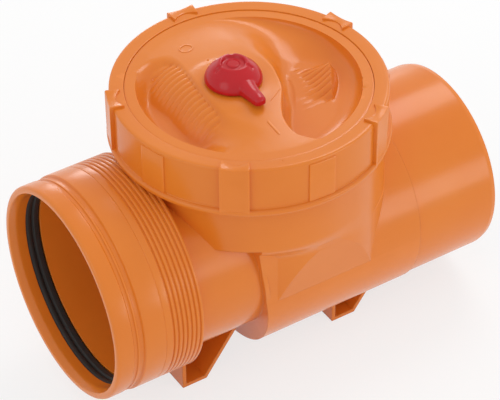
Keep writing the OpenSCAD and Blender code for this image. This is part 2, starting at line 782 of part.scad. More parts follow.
module screw_ring() {
  round_r = 2;
  bead_r = bead_h / 2;
  z0 = ring_z0 + bead_h / 2;
  plain_z1 = ring_top_z - round_r;
  tall_z0 = ring_top_z - ring_lip_t / 2;
  reach = (ring_r - ring_bore_r) / 2;
  color(orange) translate([cover_x, 0, 0]) {
    rotate_extrude() polygon(concat(
      [[ring_bore_r, ring_z0], [ring_r, ring_z0]],
      arc([ring_r + bead_out - bead_r, ring_z0 + bead_r], bead_r, -90, 90),
      [[ring_r, ring_z0 + bead_h]],
      arc([ring_r - round_r, ring_top_z - round_r], round_r, 0, 90),
      [[opening_r + 1, ring_top_z - 1], [opening_r, ring_top_z - 2], [opening_r, lip_z0],
        [ring_bore_r, lip_z0]]));
    translate([0, 0, z0]) linear_extrude(plain_z1 - z0) lug_places(0) lug_outline(reach);
    translate([0, 0, z0]) linear_extrude(plain_z1 - z0) lug_places(1) lug_outline(reach);
    translate([0, 0, tall_z0]) linear_extrude(ring_top_z + lug_rise - tall_z0)
      lug_places(0) lug_outline(lug_reach, lug_waist);
  }
}

// Every second place round the ring, from the given one on
module lug_places(first) {
  for (i = [first:2:lug_count - 1]) rotate(lug_phase + i * 360 / lug_count) children();
}

// Domed knob with its lever, which points across the flow while the valve is locked
module lock_knob() {
  skirt = 3;
  bore_top = spindle_top_z - knob_z0;
  color(red) translate([knob_x, 0, knob_z0]) difference() {
    union() {
      rotate_extrude() polygon(concat([[0, 0], [knob_d / 2, 0]],
        [for (i = [0:12]) let (a = 90 * i / 12)
          [knob_d / 2 * cos(a), skirt + (knob_h - skirt) * sin(a)]]));
      linear_extrude(lever_h) union() {
        translate([0, -lever_len + lever_tip_w / 2]) circle(d = lever_tip_w);
        polygon([[-lever_root_w / 2, 0], [lever_root_w / 2, 0],
          [lever_tip_w / 2, -lever_len + lever_tip_w / 2],
          [-lever_tip_w / 2, -lever_len + lever_tip_w / 2]]);
      }
    }
    translate([0, 0, -over]) cylinder(h = bore_top + over, r = spindle_r);
    cylinder(h = bore_top + screw_len / 4, d = finger_pin_d);
  }
}

// Spindle through the cover, with grooves for its seals and its clip
module lock_spindle() {
  seal_half = spindle_seal_d / 2 + 0.1;
  seal_r = spindle_r - spindle_seal_d + 0.3;
  groove_r = spindle_r - spindle_groove;
  color(steel) translate([knob_x, 0, 0]) difference() {
    rotate_extrude() polygon(concat([[0, finger_z0], [spindle_r, finger_z0], [spindle_r, clip_z0],
      [groove_r, clip_z0], [groove_r, clip_z0 + clip_t], [spindle_r, clip_z0 + clip_t]],
      [for (z = spindle_seal_levels()) each [[spindle_r, z - seal_half], [seal_r, z - seal_half],
        [seal_r, z + seal_half], [spindle_r, z + seal_half]]],
      [[spindle_r, spindle_top_z], [0, spindle_top_z]]));
    translate([0, 0, finger_z0 + finger_h / 2]) rotate([0, 90, 90])
      cylinder(h = 4 * finger_hub_r, d = finger_pin_d, center = true);
    translate([0, 0, spindle_top_z - screw_len]) cylinder(h = screw_len + over, d = finger_pin_d);
  }
}

function spindle_seal_levels() = let (span = cover_top_z - boss_z0)
  [boss_z0 + span * 0.35, boss_z0 + span * 0.65];

// Round seals between the spindle and its bore
module spindle_seals() {
  color(black) translate([knob_x, 0, 0]) for (z = spindle_seal_levels())
    translate([0, 0, z]) rotate_extrude()
      translate([spindle_r - spindle_seal_d / 2, 0]) circle(d = spindle_seal_d, $fn = 32);
}

module spindle_washer() {
  color(steel) translate([knob_x, 0, washer_z0 + flat_gap]) difference() {
    cylinder(h = washer_t, d = boss_d);
    translate([0, 0, -over]) cylinder(h = washer_t + 2 * over, r = spindle_r + spindle_fit);
  }
}

// Open retaining clip that holds the spindle up against the washer
module spindle_clip() {
  groove_r = spindle_r - spindle_groove;
  color(steel) translate([knob_x, 0, clip_z0]) open_clip(groove_r, spindle_r + 3, clip_t);
}

module open_clip(r_in, r_out, t) {
  linear_extrude(t) difference() {
    circle(r = r_out);
    circle(r = r_in);
    translate([0, -r_in * 0.6]) square([r_out + over, r_in * 1.2]);
  }
}

// Cam that stops in front of the flap's horn
module lock_finger() {
  nose_r = finger_w / 2;
  color(steel) translate([knob_x, 0, finger_z0]) difference() {
    linear_extrude(finger_h) difference() {
      union() {
        circle(r = finger_hub_r);
        translate([-finger_reach + nose_r, 0]) circle(r = nose_r);
        translate([-finger_reach + nose_r, -nose_r]) square([finger_reach - nose_r, finger_w]);
      }
      circle(r = spindle_r);
    }
    translate([0, 0, finger_h / 2]) rotate([0, 90, 90])
      cylinder(h = 4 * finger_hub_r, d = finger_pin_d, center = true);
  }
}

// Cross pin that fixes the finger to the spindle
module finger_pin() {
  color(steel) translate([knob_x, 0, finger_z0 + finger_h / 2]) rotate([0, 90, 90])
    cylinder(h = 2 * finger_hub_r - 1, d = finger_pin_d, center = true);
}

// Screw that holds the knob on the spindle
module knob_screw() {
  color(steel) translate([knob_x, 0, spindle_top_z - screw_len])
    cylinder(h = screw_len * 1.25, d = finger_pin_d);
}

// Flap: round plate, tongue and hinge knuckle
module flap_plate() {
  tongue_z0 = flap_r * 0.7;
  color(steel) on_seat() difference() {
    union() {
      translate([plate_x0, 0, 0]) rotate([0, 90, 0]) cylinder(h = flap_t, r = flap_r);
      translate([plate_x0, -knuckle_w / 2, tongue_z0])
        cube([flap_t, knuckle_w, hinge_up - tongue_z0]);
      translate([hinge_out, 0, hinge_up]) cylinder_y(-knuckle_w / 2, knuckle_w / 2, knuckle_r);
    }
    translate([hinge_out, 0, hinge_up]) cylinder_y(-knuckle_w / 2 - over, knuckle_w / 2 + over, pin_r);
    flap_rivet_places() translate([plate_x0 - over, 0, 0]) rotate([0, 90, 0])
      cylinder(h = flap_t + 2 * over, d = rivet_d);
  }
}

module flap_rivet_places() {
  for (i = [0:rivet_count - 1])
    rotate([(i + 0.5) * 360 / rivet_count, 0, 0]) translate([0, 0, rivet_ring_r]) children();
}

// Rubber ring that closes on the seat, with the web that the clamp ring holds
module flap_seal() {
  r_out = seat_ring_r - 0.5;
  web_r = clamp_r - clamp_w;
  color(black) on_seat() difference() {
    rotate([0, 90, 0]) rotate_extrude() polygon([[web_r, plate_x0 - web_t], [web_r, plate_x0],
      [r_out, plate_x0], [r_out, seal_x0 + 1], [r_out - 1, seal_x0], [clamp_r + 0.5, seal_x0],
      [clamp_r + 0.5, plate_x0 - web_t]]);
    flap_rivet_places() translate([clamp_x0, 0, 0]) rotate([0, 90, 0])
      cylinder(h = plate_x1, d = rivet_d);
  }
}

module flap_clamp_ring() {
  color(steel) on_seat() difference() {
    translate([clamp_x0, 0, 0]) rotate([0, 90, 0]) cylinder(h = clamp_t, r = clamp_r);
    translate([clamp_x0 - over, 0, 0]) rotate([0, 90, 0])
      cylinder(h = clamp_t + 2 * over, r = clamp_r - clamp_w);
    flap_rivet_places() translate([clamp_x0 - over, 0, 0]) rotate([0, 90, 0])
      cylinder(h = clamp_t + 2 * over, d = rivet_d);
  }
}

// Rivets through plate, seal and clamp ring
module flap_rivets() {
  color(steel) on_seat() flap_rivet_places() {
    translate([clamp_x0, 0, 0]) rotate([0, 90, 0]) cylinder(h = plate_x1 - clamp_x0, d = rivet_d, $fn = 24);
    translate([clamp_x0 - rivet_head_t, 0, 0]) rotate([0, 90, 0])
      cylinder(h = rivet_head_t, d = 2 * rivet_d, $fn = 24);
    translate([plate_x1, 0, 0]) rotate([0, 90, 0]) cylinder(h = rivet_head_t, d = 2 * rivet_d, $fn = 24);
  }
}

// Pin fixed in the knuckle, grooved at both ends for its clips
module hinge_pin() {
  groove = 0.8;
  clip_y = ear_out + clip_gap;
  color(steel) on_hinge() rotate([90, 0, 0]) rotate_extrude() polygon([[0, -pin_end],
    [pin_r, -pin_end], [pin_r, -clip_y - clip_t], [pin_r - groove, -clip_y - clip_t],
    [pin_r - groove, -clip_y], [pin_r, -clip_y], [pin_r, clip_y], [pin_r - groove, clip_y],
    [pin_r - groove, clip_y + clip_t], [pin_r, clip_y + clip_t], [pin_r, pin_end], [0, pin_end]]);
}

module hinge_clips() {
  groove = 0.8;
  color(steel) on_hinge() for (side = [-1, 1])
    translate([0, side * (ear_out + clip_gap + clip_t / 2) + clip_t / 2, 0]) rotate([90, 0, 0])
      open_clip(pin_r - groove, pin_r + 2.2, clip_t);
}

// Horn on the knuckle that the lock finger faces
module flap_horn() {
  root = 3;
  tip = 5;
  nose = 1.5;
  color(steel) on_hinge() rotate([0, -horn_rise, 0]) difference() {
    along_y(-horn_w / 2, horn_w / 2)
      polygon([[0, -root], [horn_reach - nose, -tip / 2], [horn_reach, 0], [horn_reach - nose, tip / 2],
        [0, knuckle_r]]);
    cylinder_y(-horn_w, horn_w, knuckle_r);
  }
}

valve_body();
inlet_socket();
socket_seal();
seat_ring();
hinge_bushes();
cover_plate();
cover_seal();
spindle_washer();
spindle_clip();
screw_ring();
lock_knob();
lock_spindle();
spindle_seals();
lock_finger();
finger_pin();
knob_screw();
flap_plate();
flap_seal();
flap_clamp_ring();
flap_rivets();
hinge_pin();
hinge_clips();
flap_horn();
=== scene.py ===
"""Looks of a drain backwater valve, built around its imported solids. Lengths in pieces are millimetres."""
import math

import bmesh
import bpy
import numpy as np
from bpy.props import FloatProperty, FloatVectorProperty, IntProperty, PointerProperty
from mathutils import Matrix, Vector
from mathutils.geometry import delaunay_2d_cdt


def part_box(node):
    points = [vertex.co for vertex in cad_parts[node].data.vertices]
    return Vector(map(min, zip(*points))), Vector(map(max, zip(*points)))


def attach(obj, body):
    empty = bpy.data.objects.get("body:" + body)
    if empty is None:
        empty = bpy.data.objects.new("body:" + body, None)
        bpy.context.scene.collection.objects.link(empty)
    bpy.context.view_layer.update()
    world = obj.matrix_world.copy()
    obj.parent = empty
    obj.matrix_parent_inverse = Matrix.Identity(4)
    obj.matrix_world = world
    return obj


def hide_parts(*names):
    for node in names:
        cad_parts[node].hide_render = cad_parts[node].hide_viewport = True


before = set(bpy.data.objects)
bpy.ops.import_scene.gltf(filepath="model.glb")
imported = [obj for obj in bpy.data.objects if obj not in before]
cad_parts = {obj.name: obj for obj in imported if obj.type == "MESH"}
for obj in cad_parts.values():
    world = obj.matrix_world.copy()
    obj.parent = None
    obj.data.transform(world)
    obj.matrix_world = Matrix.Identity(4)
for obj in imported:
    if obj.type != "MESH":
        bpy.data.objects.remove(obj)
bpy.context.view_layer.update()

bl_info = {
    "name": "Backwater valve looks",
    "version": (1, 0, 0),
    "blender": (4, 5, 0),
    "location": "3D View > Sidebar > Valve",
    "description": "Moulded shapes, finishes and stage of a drain backwater valve",
    "category": "Object",
}

MM = 0.001


def box_mm(node):
    """A node's lowest and highest corner, in millimetres."""
    low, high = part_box(node)
    return np.array(low) / MM, np.array(high) / MM


RING_LOW, RING_HIGH = box_mm("screw_ring")
COVER_LOW, COVER_HIGH = box_mm("cover_plate")
KNOB_LOW, KNOB_HIGH = box_mm("lock_knob")
SOCKET_LOW, SOCKET_HIGH = box_mm("inlet_socket")
BODY_HIGH = box_mm("valve_body")[1]
SPINDLE_LOW, SPINDLE_HIGH = box_mm("lock_spindle")
# Height of the cover's dome over its rim
CROWN = 9.2
COVER_X = (COVER_LOW[0] + COVER_HIGH[0]) / 2
COVER_TOP = COVER_HIGH[2] - CROWN
KNOB_X = (SPINDLE_LOW[0] + SPINDLE_HIGH[0]) / 2
KNOB_U = KNOB_X - COVER_X
INLET_H = (SOCKET_LOW[2] + SOCKET_HIGH[2]) / 2
MOUTH_X = SOCKET_LOW[0]

# Radii, heights and tilts that the boxes don't give
RING_R, RING_BORE = 107.5, 103.3
OPENING_R, COVER_R = 95.9, 95.75
COLLAR_R, SHAFT_R, CHAMBER_R = 102.5, 97.5, 81.2
OUTLET_H, SHAFT_FLOOR = 90, 153
BORE_R = 78
# Circles of the shaft's skin and its core: shift from the cover's axis along the flow, and radius
UPPER_SKIN, LOWER_SKIN, SKIN_CORE = (14, 94), (17, 92.4), (21, 88.5)
CORE_TOP, CORE_FADE, SKIN_FADE = 152, 13, 20
HALF_WALL, PROUD = 2, 0.12
SEAT_BACK, SEAT_TILT, CHEEK_TILT = 37, 7, 13
SPINDLE_BORE = 6.05
LUG_RISE = 1.5


def length(name, text, millimetres):
    """A length property, given in millimetres and kept in metres."""
    return FloatProperty(name=name, description=text, default=millimetres * MM, unit="LENGTH", precision=5)


def colour(name, text, value):
    """A colour property in scene linear values."""
    return FloatVectorProperty(name=name, description=text, default=value, subtype="COLOR", min=0, max=1)


class ValveSizes(bpy.types.PropertyGroup):
    """Sizes of what the solids leave to the looks."""
    rib_pitch: length("Rib pitch", "Distance from rib to rib on the grips", 5.8)
    rib_rise: length("Rib rise", "Height of a rib over the groove beside it", 1.9)
    scoop_depth: length("Scoop depth", "Depth of the finger scoops under the cover's rim", 15.5)
    scoop_radius: length("Scoop radius", "Outer wall of the finger scoops", 86.8)
    lug_width: length("Lug width", "Width of a grip lug", 22.5)
    tall_lug_out: length("Tall lug reach", "How far a tall lug stands out of the ring", 3.2)
    plain_lug_out: length("Plain lug reach", "How far a plain lug stands out of the ring", 1.4)
    bead_out: length("Bead reach", "How far the ring's foot bead stands out", 3.2)
    thread_pitch: length("Thread pitch", "Pitch of the thread on the shaft's collar", 6.0)
    thread_rise: length("Thread rise", "Height of the thread on the shaft's collar", 0.45)
    mark_rise: length("Mark rise", "Height of the position marks on the cover", 0.45)
    lug_count: IntProperty(name="Lugs", description="Grip lugs round the ring", default=10, min=4)


class ValveFinishes(bpy.types.PropertyGroup):
    """Colours of the finishes."""
    housing: colour("Housing", "Orange-brown rigid plastic", (0.77, 0.215, 0.022))
    housing_deep: colour("Housing, deep", "The same plastic where it looks deeper", (0.74, 0.195, 0.017))
    knob: colour("Knob", "Red plastic", (0.53, 0.008, 0.014))
    knob_deep: colour("Knob, deep", "The same red where it looks deeper", (0.48, 0.005, 0.010))
    rubber: colour("Rubber", "Black seal rubber", (0.018, 0.017, 0.016))
    seat: colour("Seat", "Grey plastic of the seat", (0.17, 0.175, 0.18))
    bush: colour("Bush", "Black bearing plastic", (0.016, 0.016, 0.018))
    steel: colour("Steel", "Stainless steel", (0.56, 0.57, 0.58))


class ValveStage(bpy.types.PropertyGroup):
    """Camera and light."""
    azimuth: FloatProperty(name="Azimuth", description="Camera's turn about Z", default=math.radians(-32.41),
                           subtype="ANGLE")
    elevation: FloatProperty(name="Elevation", description="Camera's height angle", default=math.radians(39.8),
                             subtype="ANGLE")
    roll: FloatProperty(name="Roll", description="Camera's turn about its view", default=math.radians(-0.55),
                        subtype="ANGLE")
    distance: FloatProperty(name="Distance", description="Camera to target", default=1.914, unit="LENGTH")
    lens: FloatProperty(name="Lens", description="Focal length in millimetres on a 36 mm sensor", default=173.28)
    target_x: length("Target along the flow", "Where the camera looks, along X", -6.16)
    target_z: length("Target height", "Where the camera looks, along Z", 123.89)
    ambient: FloatProperty(name="Ambient", description="Light from all around", default=0.8, min=0)
    key_power: FloatProperty(name="Key", description="Power of the top right light in watts", default=4.8, min=0)
    back_power: FloatProperty(name="Back", description="Power of the light behind in watts", default=2.2, min=0)
    fill_power: FloatProperty(name="Fill", description="Power of the left light in watts", default=2, min=0)
    front_power: FloatProperty(name="Front", description="Power of the low front light in watts", default=4.4,
                               min=0)
    shadow: FloatProperty(name="Shadow", description="Share of the floor's shading that shows", default=0.28, min=0,
                          max=1)
    floor: colour("Floor", "Floor and backdrop", (0.9, 0.9, 0.9))


# Node groups and finishes

def node(tree, kind, place, **values):
    """Adds a node, with its attributes and socket defaults."""
    made = tree.nodes.new(kind)
    made.location = place
    for key, value in values.items():
        if hasattr(made, key):
            setattr(made, key, value)
        else:
            made.inputs[key.replace("_", " ")].default_value = value
    return made


def new_group(name, inputs, outputs):
    """A shader node group with named sockets; returns it with its input and output nodes."""
    group = bpy.data.node_groups.new(name, "ShaderNodeTree")
    for label, default in inputs:
        socket = group.interface.new_socket(name=label, in_out="INPUT", socket_type="NodeSocketFloat")
        socket.default_value = default
    for label in outputs:
        group.interface.new_socket(name=label, in_out="OUTPUT", socket_type="NodeSocketFloat")
    return group, node(group, "NodeGroupInput", (-900, 0)), node(group, "NodeGroupOutput", (700, 0))


def moulded_skin_group():
    """Moulded plastic: cloudy tint, uneven gloss and a faint orange peel."""
    group, given, out = new_group(
        "moulded skin",
        [("Cloud scale", 14.0), ("Peel scale", 800.0), ("Gloss low", 0.24), ("Gloss high", 0.34)],
        ["Tint", "Roughness", "Height"])
    link = group.links.new
    place = node(group, "ShaderNodeTexCoord", (-900, 250))
    cloud = node(group, "ShaderNodeTexNoise", (-600, 250), Detail=4.0, Roughness=0.55)
    peel = node(group, "ShaderNodeTexNoise", (-600, -50), Detail=2.0, Roughness=0.5)
    rub = node(group, "ShaderNodeTexNoise", (-600, -350), Scale=65.0, Detail=6.0, Roughness=0.7)
    link(place.outputs["Object"], cloud.inputs["Vector"])
    link(place.outputs["Object"], peel.inputs["Vector"])
    link(place.outputs["Object"], rub.inputs["Vector"])
    link(given.outputs["Cloud scale"], cloud.inputs["Scale"])
    link(given.outputs["Peel scale"], peel.inputs["Scale"])
    tint = node(group, "ShaderNodeMapRange", (-300, 250), clamp=True, From_Min=0.3, From_Max=0.7)
    link(cloud.outputs["Fac"], tint.inputs["Value"])
    gloss = node(group, "ShaderNodeMapRange", (-300, -350), clamp=True, From_Min=0.3, From_Max=0.7)
    link(rub.outputs["Fac"], gloss.inputs["Value"])
    link(given.outputs["Gloss low"], gloss.inputs["To Min"])
    link(given.outputs["Gloss high"], gloss.inputs["To Max"])
    link(tint.outputs["Result"], out.inputs["Tint"])
    link(gloss.outputs["Result"], out.inputs["Roughness"])
    link(peel.outputs["Fac"], out.inputs["Height"])
    return group


def edge_rub_group():
    """A mask of worn convex edges, broken up by noise."""
    group, given, out = new_group("edge rub", [("Low", 0.52), ("High", 0.6)], ["Mask"])
    link = group.links.new
    shape = node(group, "ShaderNodeNewGeometry", (-600, 100))
    spread = node(group, "ShaderNodeMapRange", (-300, 100), clamp=True)
    link(shape.outputs["Pointiness"], spread.inputs["Value"])
    link(given.outputs["Low"], spread.inputs["From Min"])
    link(given.outputs["High"], spread.inputs["From Max"])
    breakup = node(group, "ShaderNodeTexNoise", (-600, -250), Scale=90.0, Detail=3.0)
    place = node(group, "ShaderNodeTexCoord", (-900, -250))
    link(place.outputs["Object"], breakup.inputs["Vector"])
    both = node(group, "ShaderNodeMath", (0, 0), operation="MULTIPLY")
    link(spread.outputs["Result"], both.inputs[0])
    link(breakup.outputs["Fac"], both.inputs[1])
    link(both.outputs["Value"], out.inputs["Mask"])
    return group


def brushed_group():
    """Brushed metal: fine lines along Y with uneven gloss."""
    group, given, out = new_group("brushed lines", [("Line scale", 900.0)], ["Tint", "Roughness", "Height"])
    link = group.links.new
    place = node(group, "ShaderNodeTexCoord", (-900, 250))
    squeeze = node(group, "ShaderNodeMapping", (-750, 250), Scale=(1.0, 0.02, 1.0))
    lines = node(group, "ShaderNodeTexNoise", (-500, 250), Detail=3.0, Roughness=0.6)
    cloud = node(group, "ShaderNodeTexNoise", (-500, -100), Scale=30.0, Detail=4.0)
    link(place.outputs["Object"], squeeze.inputs["Vector"])
    link(squeeze.outputs["Vector"], lines.inputs["Vector"])
    link(given.outputs["Line scale"], lines.inputs["Scale"])
    link(place.outputs["Object"], cloud.inputs["Vector"])
    gloss = node(group, "ShaderNodeMapRange", (-200, 0), clamp=True, To_Min=0.22, To_Max=0.42)
    link(lines.outputs["Fac"], gloss.inputs["Value"])
    link(cloud.outputs["Fac"], out.inputs["Tint"])
    link(gloss.outputs["Result"], out.inputs["Roughness"])
    link(lines.outputs["Fac"], out.inputs["Height"])
    return group


def finish_base(name, soft_edge):
    """A material with a Principled shader, a bump node and softened edges for shading."""
    made = bpy.data.materials.new(name)
    made.use_nodes = True
    tree = made.node_tree
    tree.nodes.clear()
    shader = node(tree, "ShaderNodeBsdfPrincipled", (500, 0))
    end = node(tree, "ShaderNodeOutputMaterial", (800, 0))
    tree.links.new(shader.outputs["BSDF"], end.inputs["Surface"])
    bump = node(tree, "ShaderNodeBump", (250, -300))
    tree.links.new(bump.outputs["Normal"], shader.inputs["Normal"])
    if soft_edge:
        round_off = node(tree, "ShaderNodeBevel", (0, -450), samples=4, Radius=soft_edge)
        tree.links.new(round_off.outputs["Normal"], bump.inputs["Normal"])
    return made, tree, shader, bump


def plastic(name, light, deep, skin, rub, gloss=(0.2, 0.27), shine=0.34, soft_edge=0.0):
    """Moulded plastic from the shared skin and edge groups."""
    made, tree, shader, bump = finish_base(name, soft_edge)
    link = tree.links.new
    surface = node(tree, "ShaderNodeGroup", (-600, 0), node_tree=skin)
    surface.inputs["Gloss low"].default_value, surface.inputs["Gloss high"].default_value = gloss
    edges = node(tree, "ShaderNodeGroup", (-600, -300), node_tree=rub)
    blend = node(tree, "ShaderNodeMix", (-300, 100), data_type="RGBA")
    blend.inputs["A"].default_value = (*deep, 1)
    blend.inputs["B"].default_value = (*light, 1)
    link(surface.outputs["Tint"], blend.inputs["Factor"])
    worn = node(tree, "ShaderNodeMix", (0, 100), data_type="RGBA")
    worn.inputs["B"].default_value = (*[min(1, c * 1.08 + 0.012) for c in light], 1)
    link(edges.outputs["Mask"], worn.inputs["Factor"])
    link(blend.outputs["Result"], worn.inputs["A"])
    link(worn.outputs["Result"], shader.inputs["Base Color"])
    link(surface.outputs["Roughness"], shader.inputs["Roughness"])
    link(surface.outputs["Height"], bump.inputs["Height"])
    bump.inputs["Strength"].default_value = 0.3
    bump.inputs["Distance"].default_value = 0.00002
    shader.inputs["IOR"].default_value = 1.53
    shader.inputs["Specular IOR Level"].default_value = shine
    return made


def metal(name, tone, lines):
    """Brushed stainless steel."""
    made, tree, shader, bump = finish_base(name, 0.0004)
    link = tree.links.new
    surface = node(tree, "ShaderNodeGroup", (-600, 0), node_tree=lines)
    blend = node(tree, "ShaderNodeMix", (-200, 100), data_type="RGBA")
    blend.inputs["A"].default_value = (*[c * 0.88 for c in tone], 1)
    blend.inputs["B"].default_value = (*[min(1, c * 1.1) for c in tone], 1)
    link(surface.outputs["Tint"], blend.inputs["Factor"])
    link(blend.outputs["Result"], shader.inputs["Base Color"])
    link(surface.outputs["Roughness"], shader.inputs["Roughness"])
    link(surface.outputs["Height"], bump.inputs["Height"])
    bump.inputs["Strength"].default_value = 0.2
    bump.inputs["Distance"].default_value = 0.0001
    shader.inputs["Metallic"].default_value = 1.0
    return made


FINISHES = {}


def finish(name):
    """A finish by name; all are made on the first call."""
    if not FINISHES:
        tones = bpy.context.scene.valve_finishes
        skin, rub, lines = moulded_skin_group(), edge_rub_group(), brushed_group()
        orange, deep = tuple(tones.housing), tuple(tones.housing_deep)
        FINISHES.update(
            housing=plastic("orange_moulding", orange, deep, skin, rub),
            housing_cad=plastic("orange_moulding_soft", orange, deep, skin, rub, soft_edge=0.0012),
            knob=plastic("red_moulding", tuple(tones.knob), tuple(tones.knob_deep), skin, rub, (0.12, 0.18), 0.3),
            rubber=plastic("seal_rubber", [c * 1.5 for c in tones.rubber], tuple(tones.rubber), skin, rub,
                           (0.5, 0.62), soft_edge=0.0005),
            seat=plastic("seat_grey", tuple(tones.seat), [c * 0.85 for c in tones.seat], skin, rub,
                         (0.35, 0.48), soft_edge=0.0008),
            bush=plastic("bearing_black", [c * 1.4 for c in tones.bush], tuple(tones.bush), skin, rub,
                         (0.4, 0.5), soft_edge=0.0005),
            steel=metal("stainless", tuple(tones.steel), lines))
    return FINISHES[name]


def dress(finish_name, *nodes):
    """Gives carried-over solids a finish."""
    for name in nodes:
        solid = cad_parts[name]
        solid.data.materials.clear()
        solid.data.materials.append(finish(finish_name))


# Mesh makers, in millimetres

def closed_mesh(name, shells):
    """One mesh from a list of closed (points, faces) shells, its normals outward."""
    points, faces = [], []
    for shell_points, shell_faces in shells:
        start = len(points)
        points.extend(tuple(float(c) * MM for c in p) for p in shell_points)
        faces.extend(tuple(i + start for i in f) for f in shell_faces)
    mesh = bpy.data.meshes.new(name)
    mesh.from_pydata(points, [], faces)
    work = bmesh.new()
    work.from_mesh(mesh)
    bmesh.ops.recalc_face_normals(work, faces=work.faces)
    work.to_mesh(mesh)
    work.free()
    return mesh


def new_piece(name, shells, finish_name, body, stands_for=(), crease=38):
    """A piece made of shells, with its finish and body; edges over crease degrees stay sharp."""
    mesh = closed_mesh(name, shells)
    mesh.shade_smooth()
    mesh.set_sharp_from_angle(angle=math.radians(crease))
    mesh.materials.append(finish(finish_name))
    made = bpy.data.objects.new(name, mesh)
    bpy.context.scene.collection.objects.link(made)
    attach(made, body)
    if stands_for:
        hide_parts(*stands_for)
    return made


def soften(outline, steps=4):
    """Rounds the corners of a closed outline of (a, b, radius) points."""
    result = []
    count = len(outline)
    for i, (a, b, radius) in enumerate(outline):
        here = np.array((a, b), float)
        before = np.array(outline[i - 1][:2], float) - here
        after = np.array(outline[(i + 1) % count][:2], float) - here
        if radius <= 0:
            result.append((a, b))
            continue
        near, far = np.linalg.norm(before), np.linalg.norm(after)
        start = here + before / near * min(radius, near * 0.48)
        stop = here + after / far * min(radius, far * 0.48)
        for k in range(steps + 1):
            t = k / steps
            point = (1 - t) ** 2 * start + 2 * t * (1 - t) * here + t ** 2 * stop
            result.append((point[0], point[1]))
    return result


def turned(outline, axis, centre, segments=192):
    """A closed outline of (along, radius) turned about X or Z through centre."""
    points, faces = [], []
    rows = len(outline)
    for along, radius in outline:
        for k in range(segments):
            angle = 2 * math.pi * k / segments
            side, lift = radius * math.cos(angle), radius * math.sin(angle)
            points.append((along, centre[0] + side, centre[1] + lift) if axis == "X"
                          else (centre[0] + side, centre[1] + lift, along))
    for i in range(rows):
        here, after = i * segments, (i + 1) % rows * segments
        for k in range(segments):
            j = (k + 1) % segments
            faces.append((here + k, here + j, after + j, after + k))
    return points, faces


def lofted(sections):
    """A closed skin through equal loops of points, capped at both ends."""
    count = len(sections[0])
    points = [p for section in sections for p in section]
    faces = []
    for i in range(len(sections) - 1):
        here, after = i * count, (i + 1) * count
        for k in range(count):
            j = (k + 1) % count
            faces.append((here + k, here + j, after + j, after + k))
    faces.append(tuple(range(count))[::-1])
    faces.append(tuple(range(len(points) - count, len(points))))
    return points, faces


def ease(value):
    """Smooth step from 0 to 1."""
    value = np.clip(value, 0, 1)
    return value * value * (3 - 2 * value)


def combine(target, shell, operation):
    """Cuts a closed shell out of a piece, or keeps what lies within it."""
    mesh = closed_mesh("cutter", [shell])
    tool = bpy.data.objects.new("cutter", mesh)
    bpy.context.scene.collection.objects.link(tool)
    change = target.modifiers.new("combine", "BOOLEAN")
    change.operation, change.object, change.solver = operation, tool, "EXACT"
    bake_modifiers(target)
    bpy.data.objects.remove(tool)
    bpy.data.meshes.remove(mesh)


def bake_modifiers(target):
    """Applies a piece's modifiers to its mesh."""
    bpy.context.view_layer.update()
    seen = target.evaluated_get(bpy.context.evaluated_depsgraph_get())
    mesh = bpy.data.meshes.new_from_object(seen)
    target.modifiers.clear()
    target.data = mesh


# Shapes of the cover's top, with u along the flow and v across it from the cover's axis

BRIDGE_EDGE = ((-86, 7), (-78, -4), (-69, -7), (-55, -6), (-43, 0.5), (-27, 12), (-15, 16), (-3, 19), (12, 18),
               (25, 13.5), (36, 9.5), (48, 6.3), (68, -4.5), (90, -14))
LEFT_CREASE = ((-66, -20), (-49, -28), (-38, -35), (-26, -39), (-10, -40), (8, -38), (26, -36), (44, -33),
               (62, -31))
LEFT_RUN = ((-66, 52), (-48, 46), (-34, 30), (-20, 17), (0, 14), (40, 14), (62, 20))
LEFT_BACK = ((-80, 48), (-69, 59), (-56, 67), (-41, 67), (-29, 62))
RIGHT_RUN = ((-70, 11), (-15, 11), (5, 20), (20, 46), (40, 78), (60, 96))
RIGHT_CREST = ((-50, 46), (-43, 49.5), (-27, 58), (-11, 68), (0, 73))
KNOB_GROUND_R = 21
LEFT_WALL, RIGHT_WALL, RIGHT_WALL_BACK = 12, 19, 27
CREST_DROP, WEDGE_TOP, WEDGE_LENGTH = 1.3, -4.6, 34
RIM_R, COVER_SINK = 94.4, 0.05
# Patches with a fine mesh: u from and to, v from and to
FINE_PATCHES = ((-72, -27, -42, 68), (18, 76, -54, 17), (-12, 17, -78, 30))


def smooth_line(line, at, spread=8):
    """A soft curve through listed points: a line's u or a run's length at v, or LEFT_BACK's v at u."""
    stations, values = zip(*line)
    shifts = np.linspace(-spread, spread, 17)
    return np.mean([np.interp(at + shift, stations, values) for shift in shifts], axis=0)


def higher(a, b, soft):
    """The higher of two surfaces, with a soft seam."""
    return 0.5 * (a + b + np.sqrt((a - b) ** 2 + soft * soft))


def bowl(r, radius, width):
    """1 inside a round wall of the given width, falling to 0 at its radius."""
    return np.sqrt(np.clip(1 - np.clip((r - radius + width) / width, 0, 1) ** 2, 0, 1))


def rib_wave(v, pitch):
    """Rounded ribs with narrow grooves between them, from 0 in a groove to 1 on a rib."""
    return np.abs(np.sin(np.pi * v / pitch)) ** 0.5


def dome(share):
    """Height of the crown where share is the squared part of its radius."""
    return CROWN * np.clip(1 - share, 0, None) ** 1.5


def over(value):
    """What of a value lies over zero."""
    return np.clip(value, 0, None)


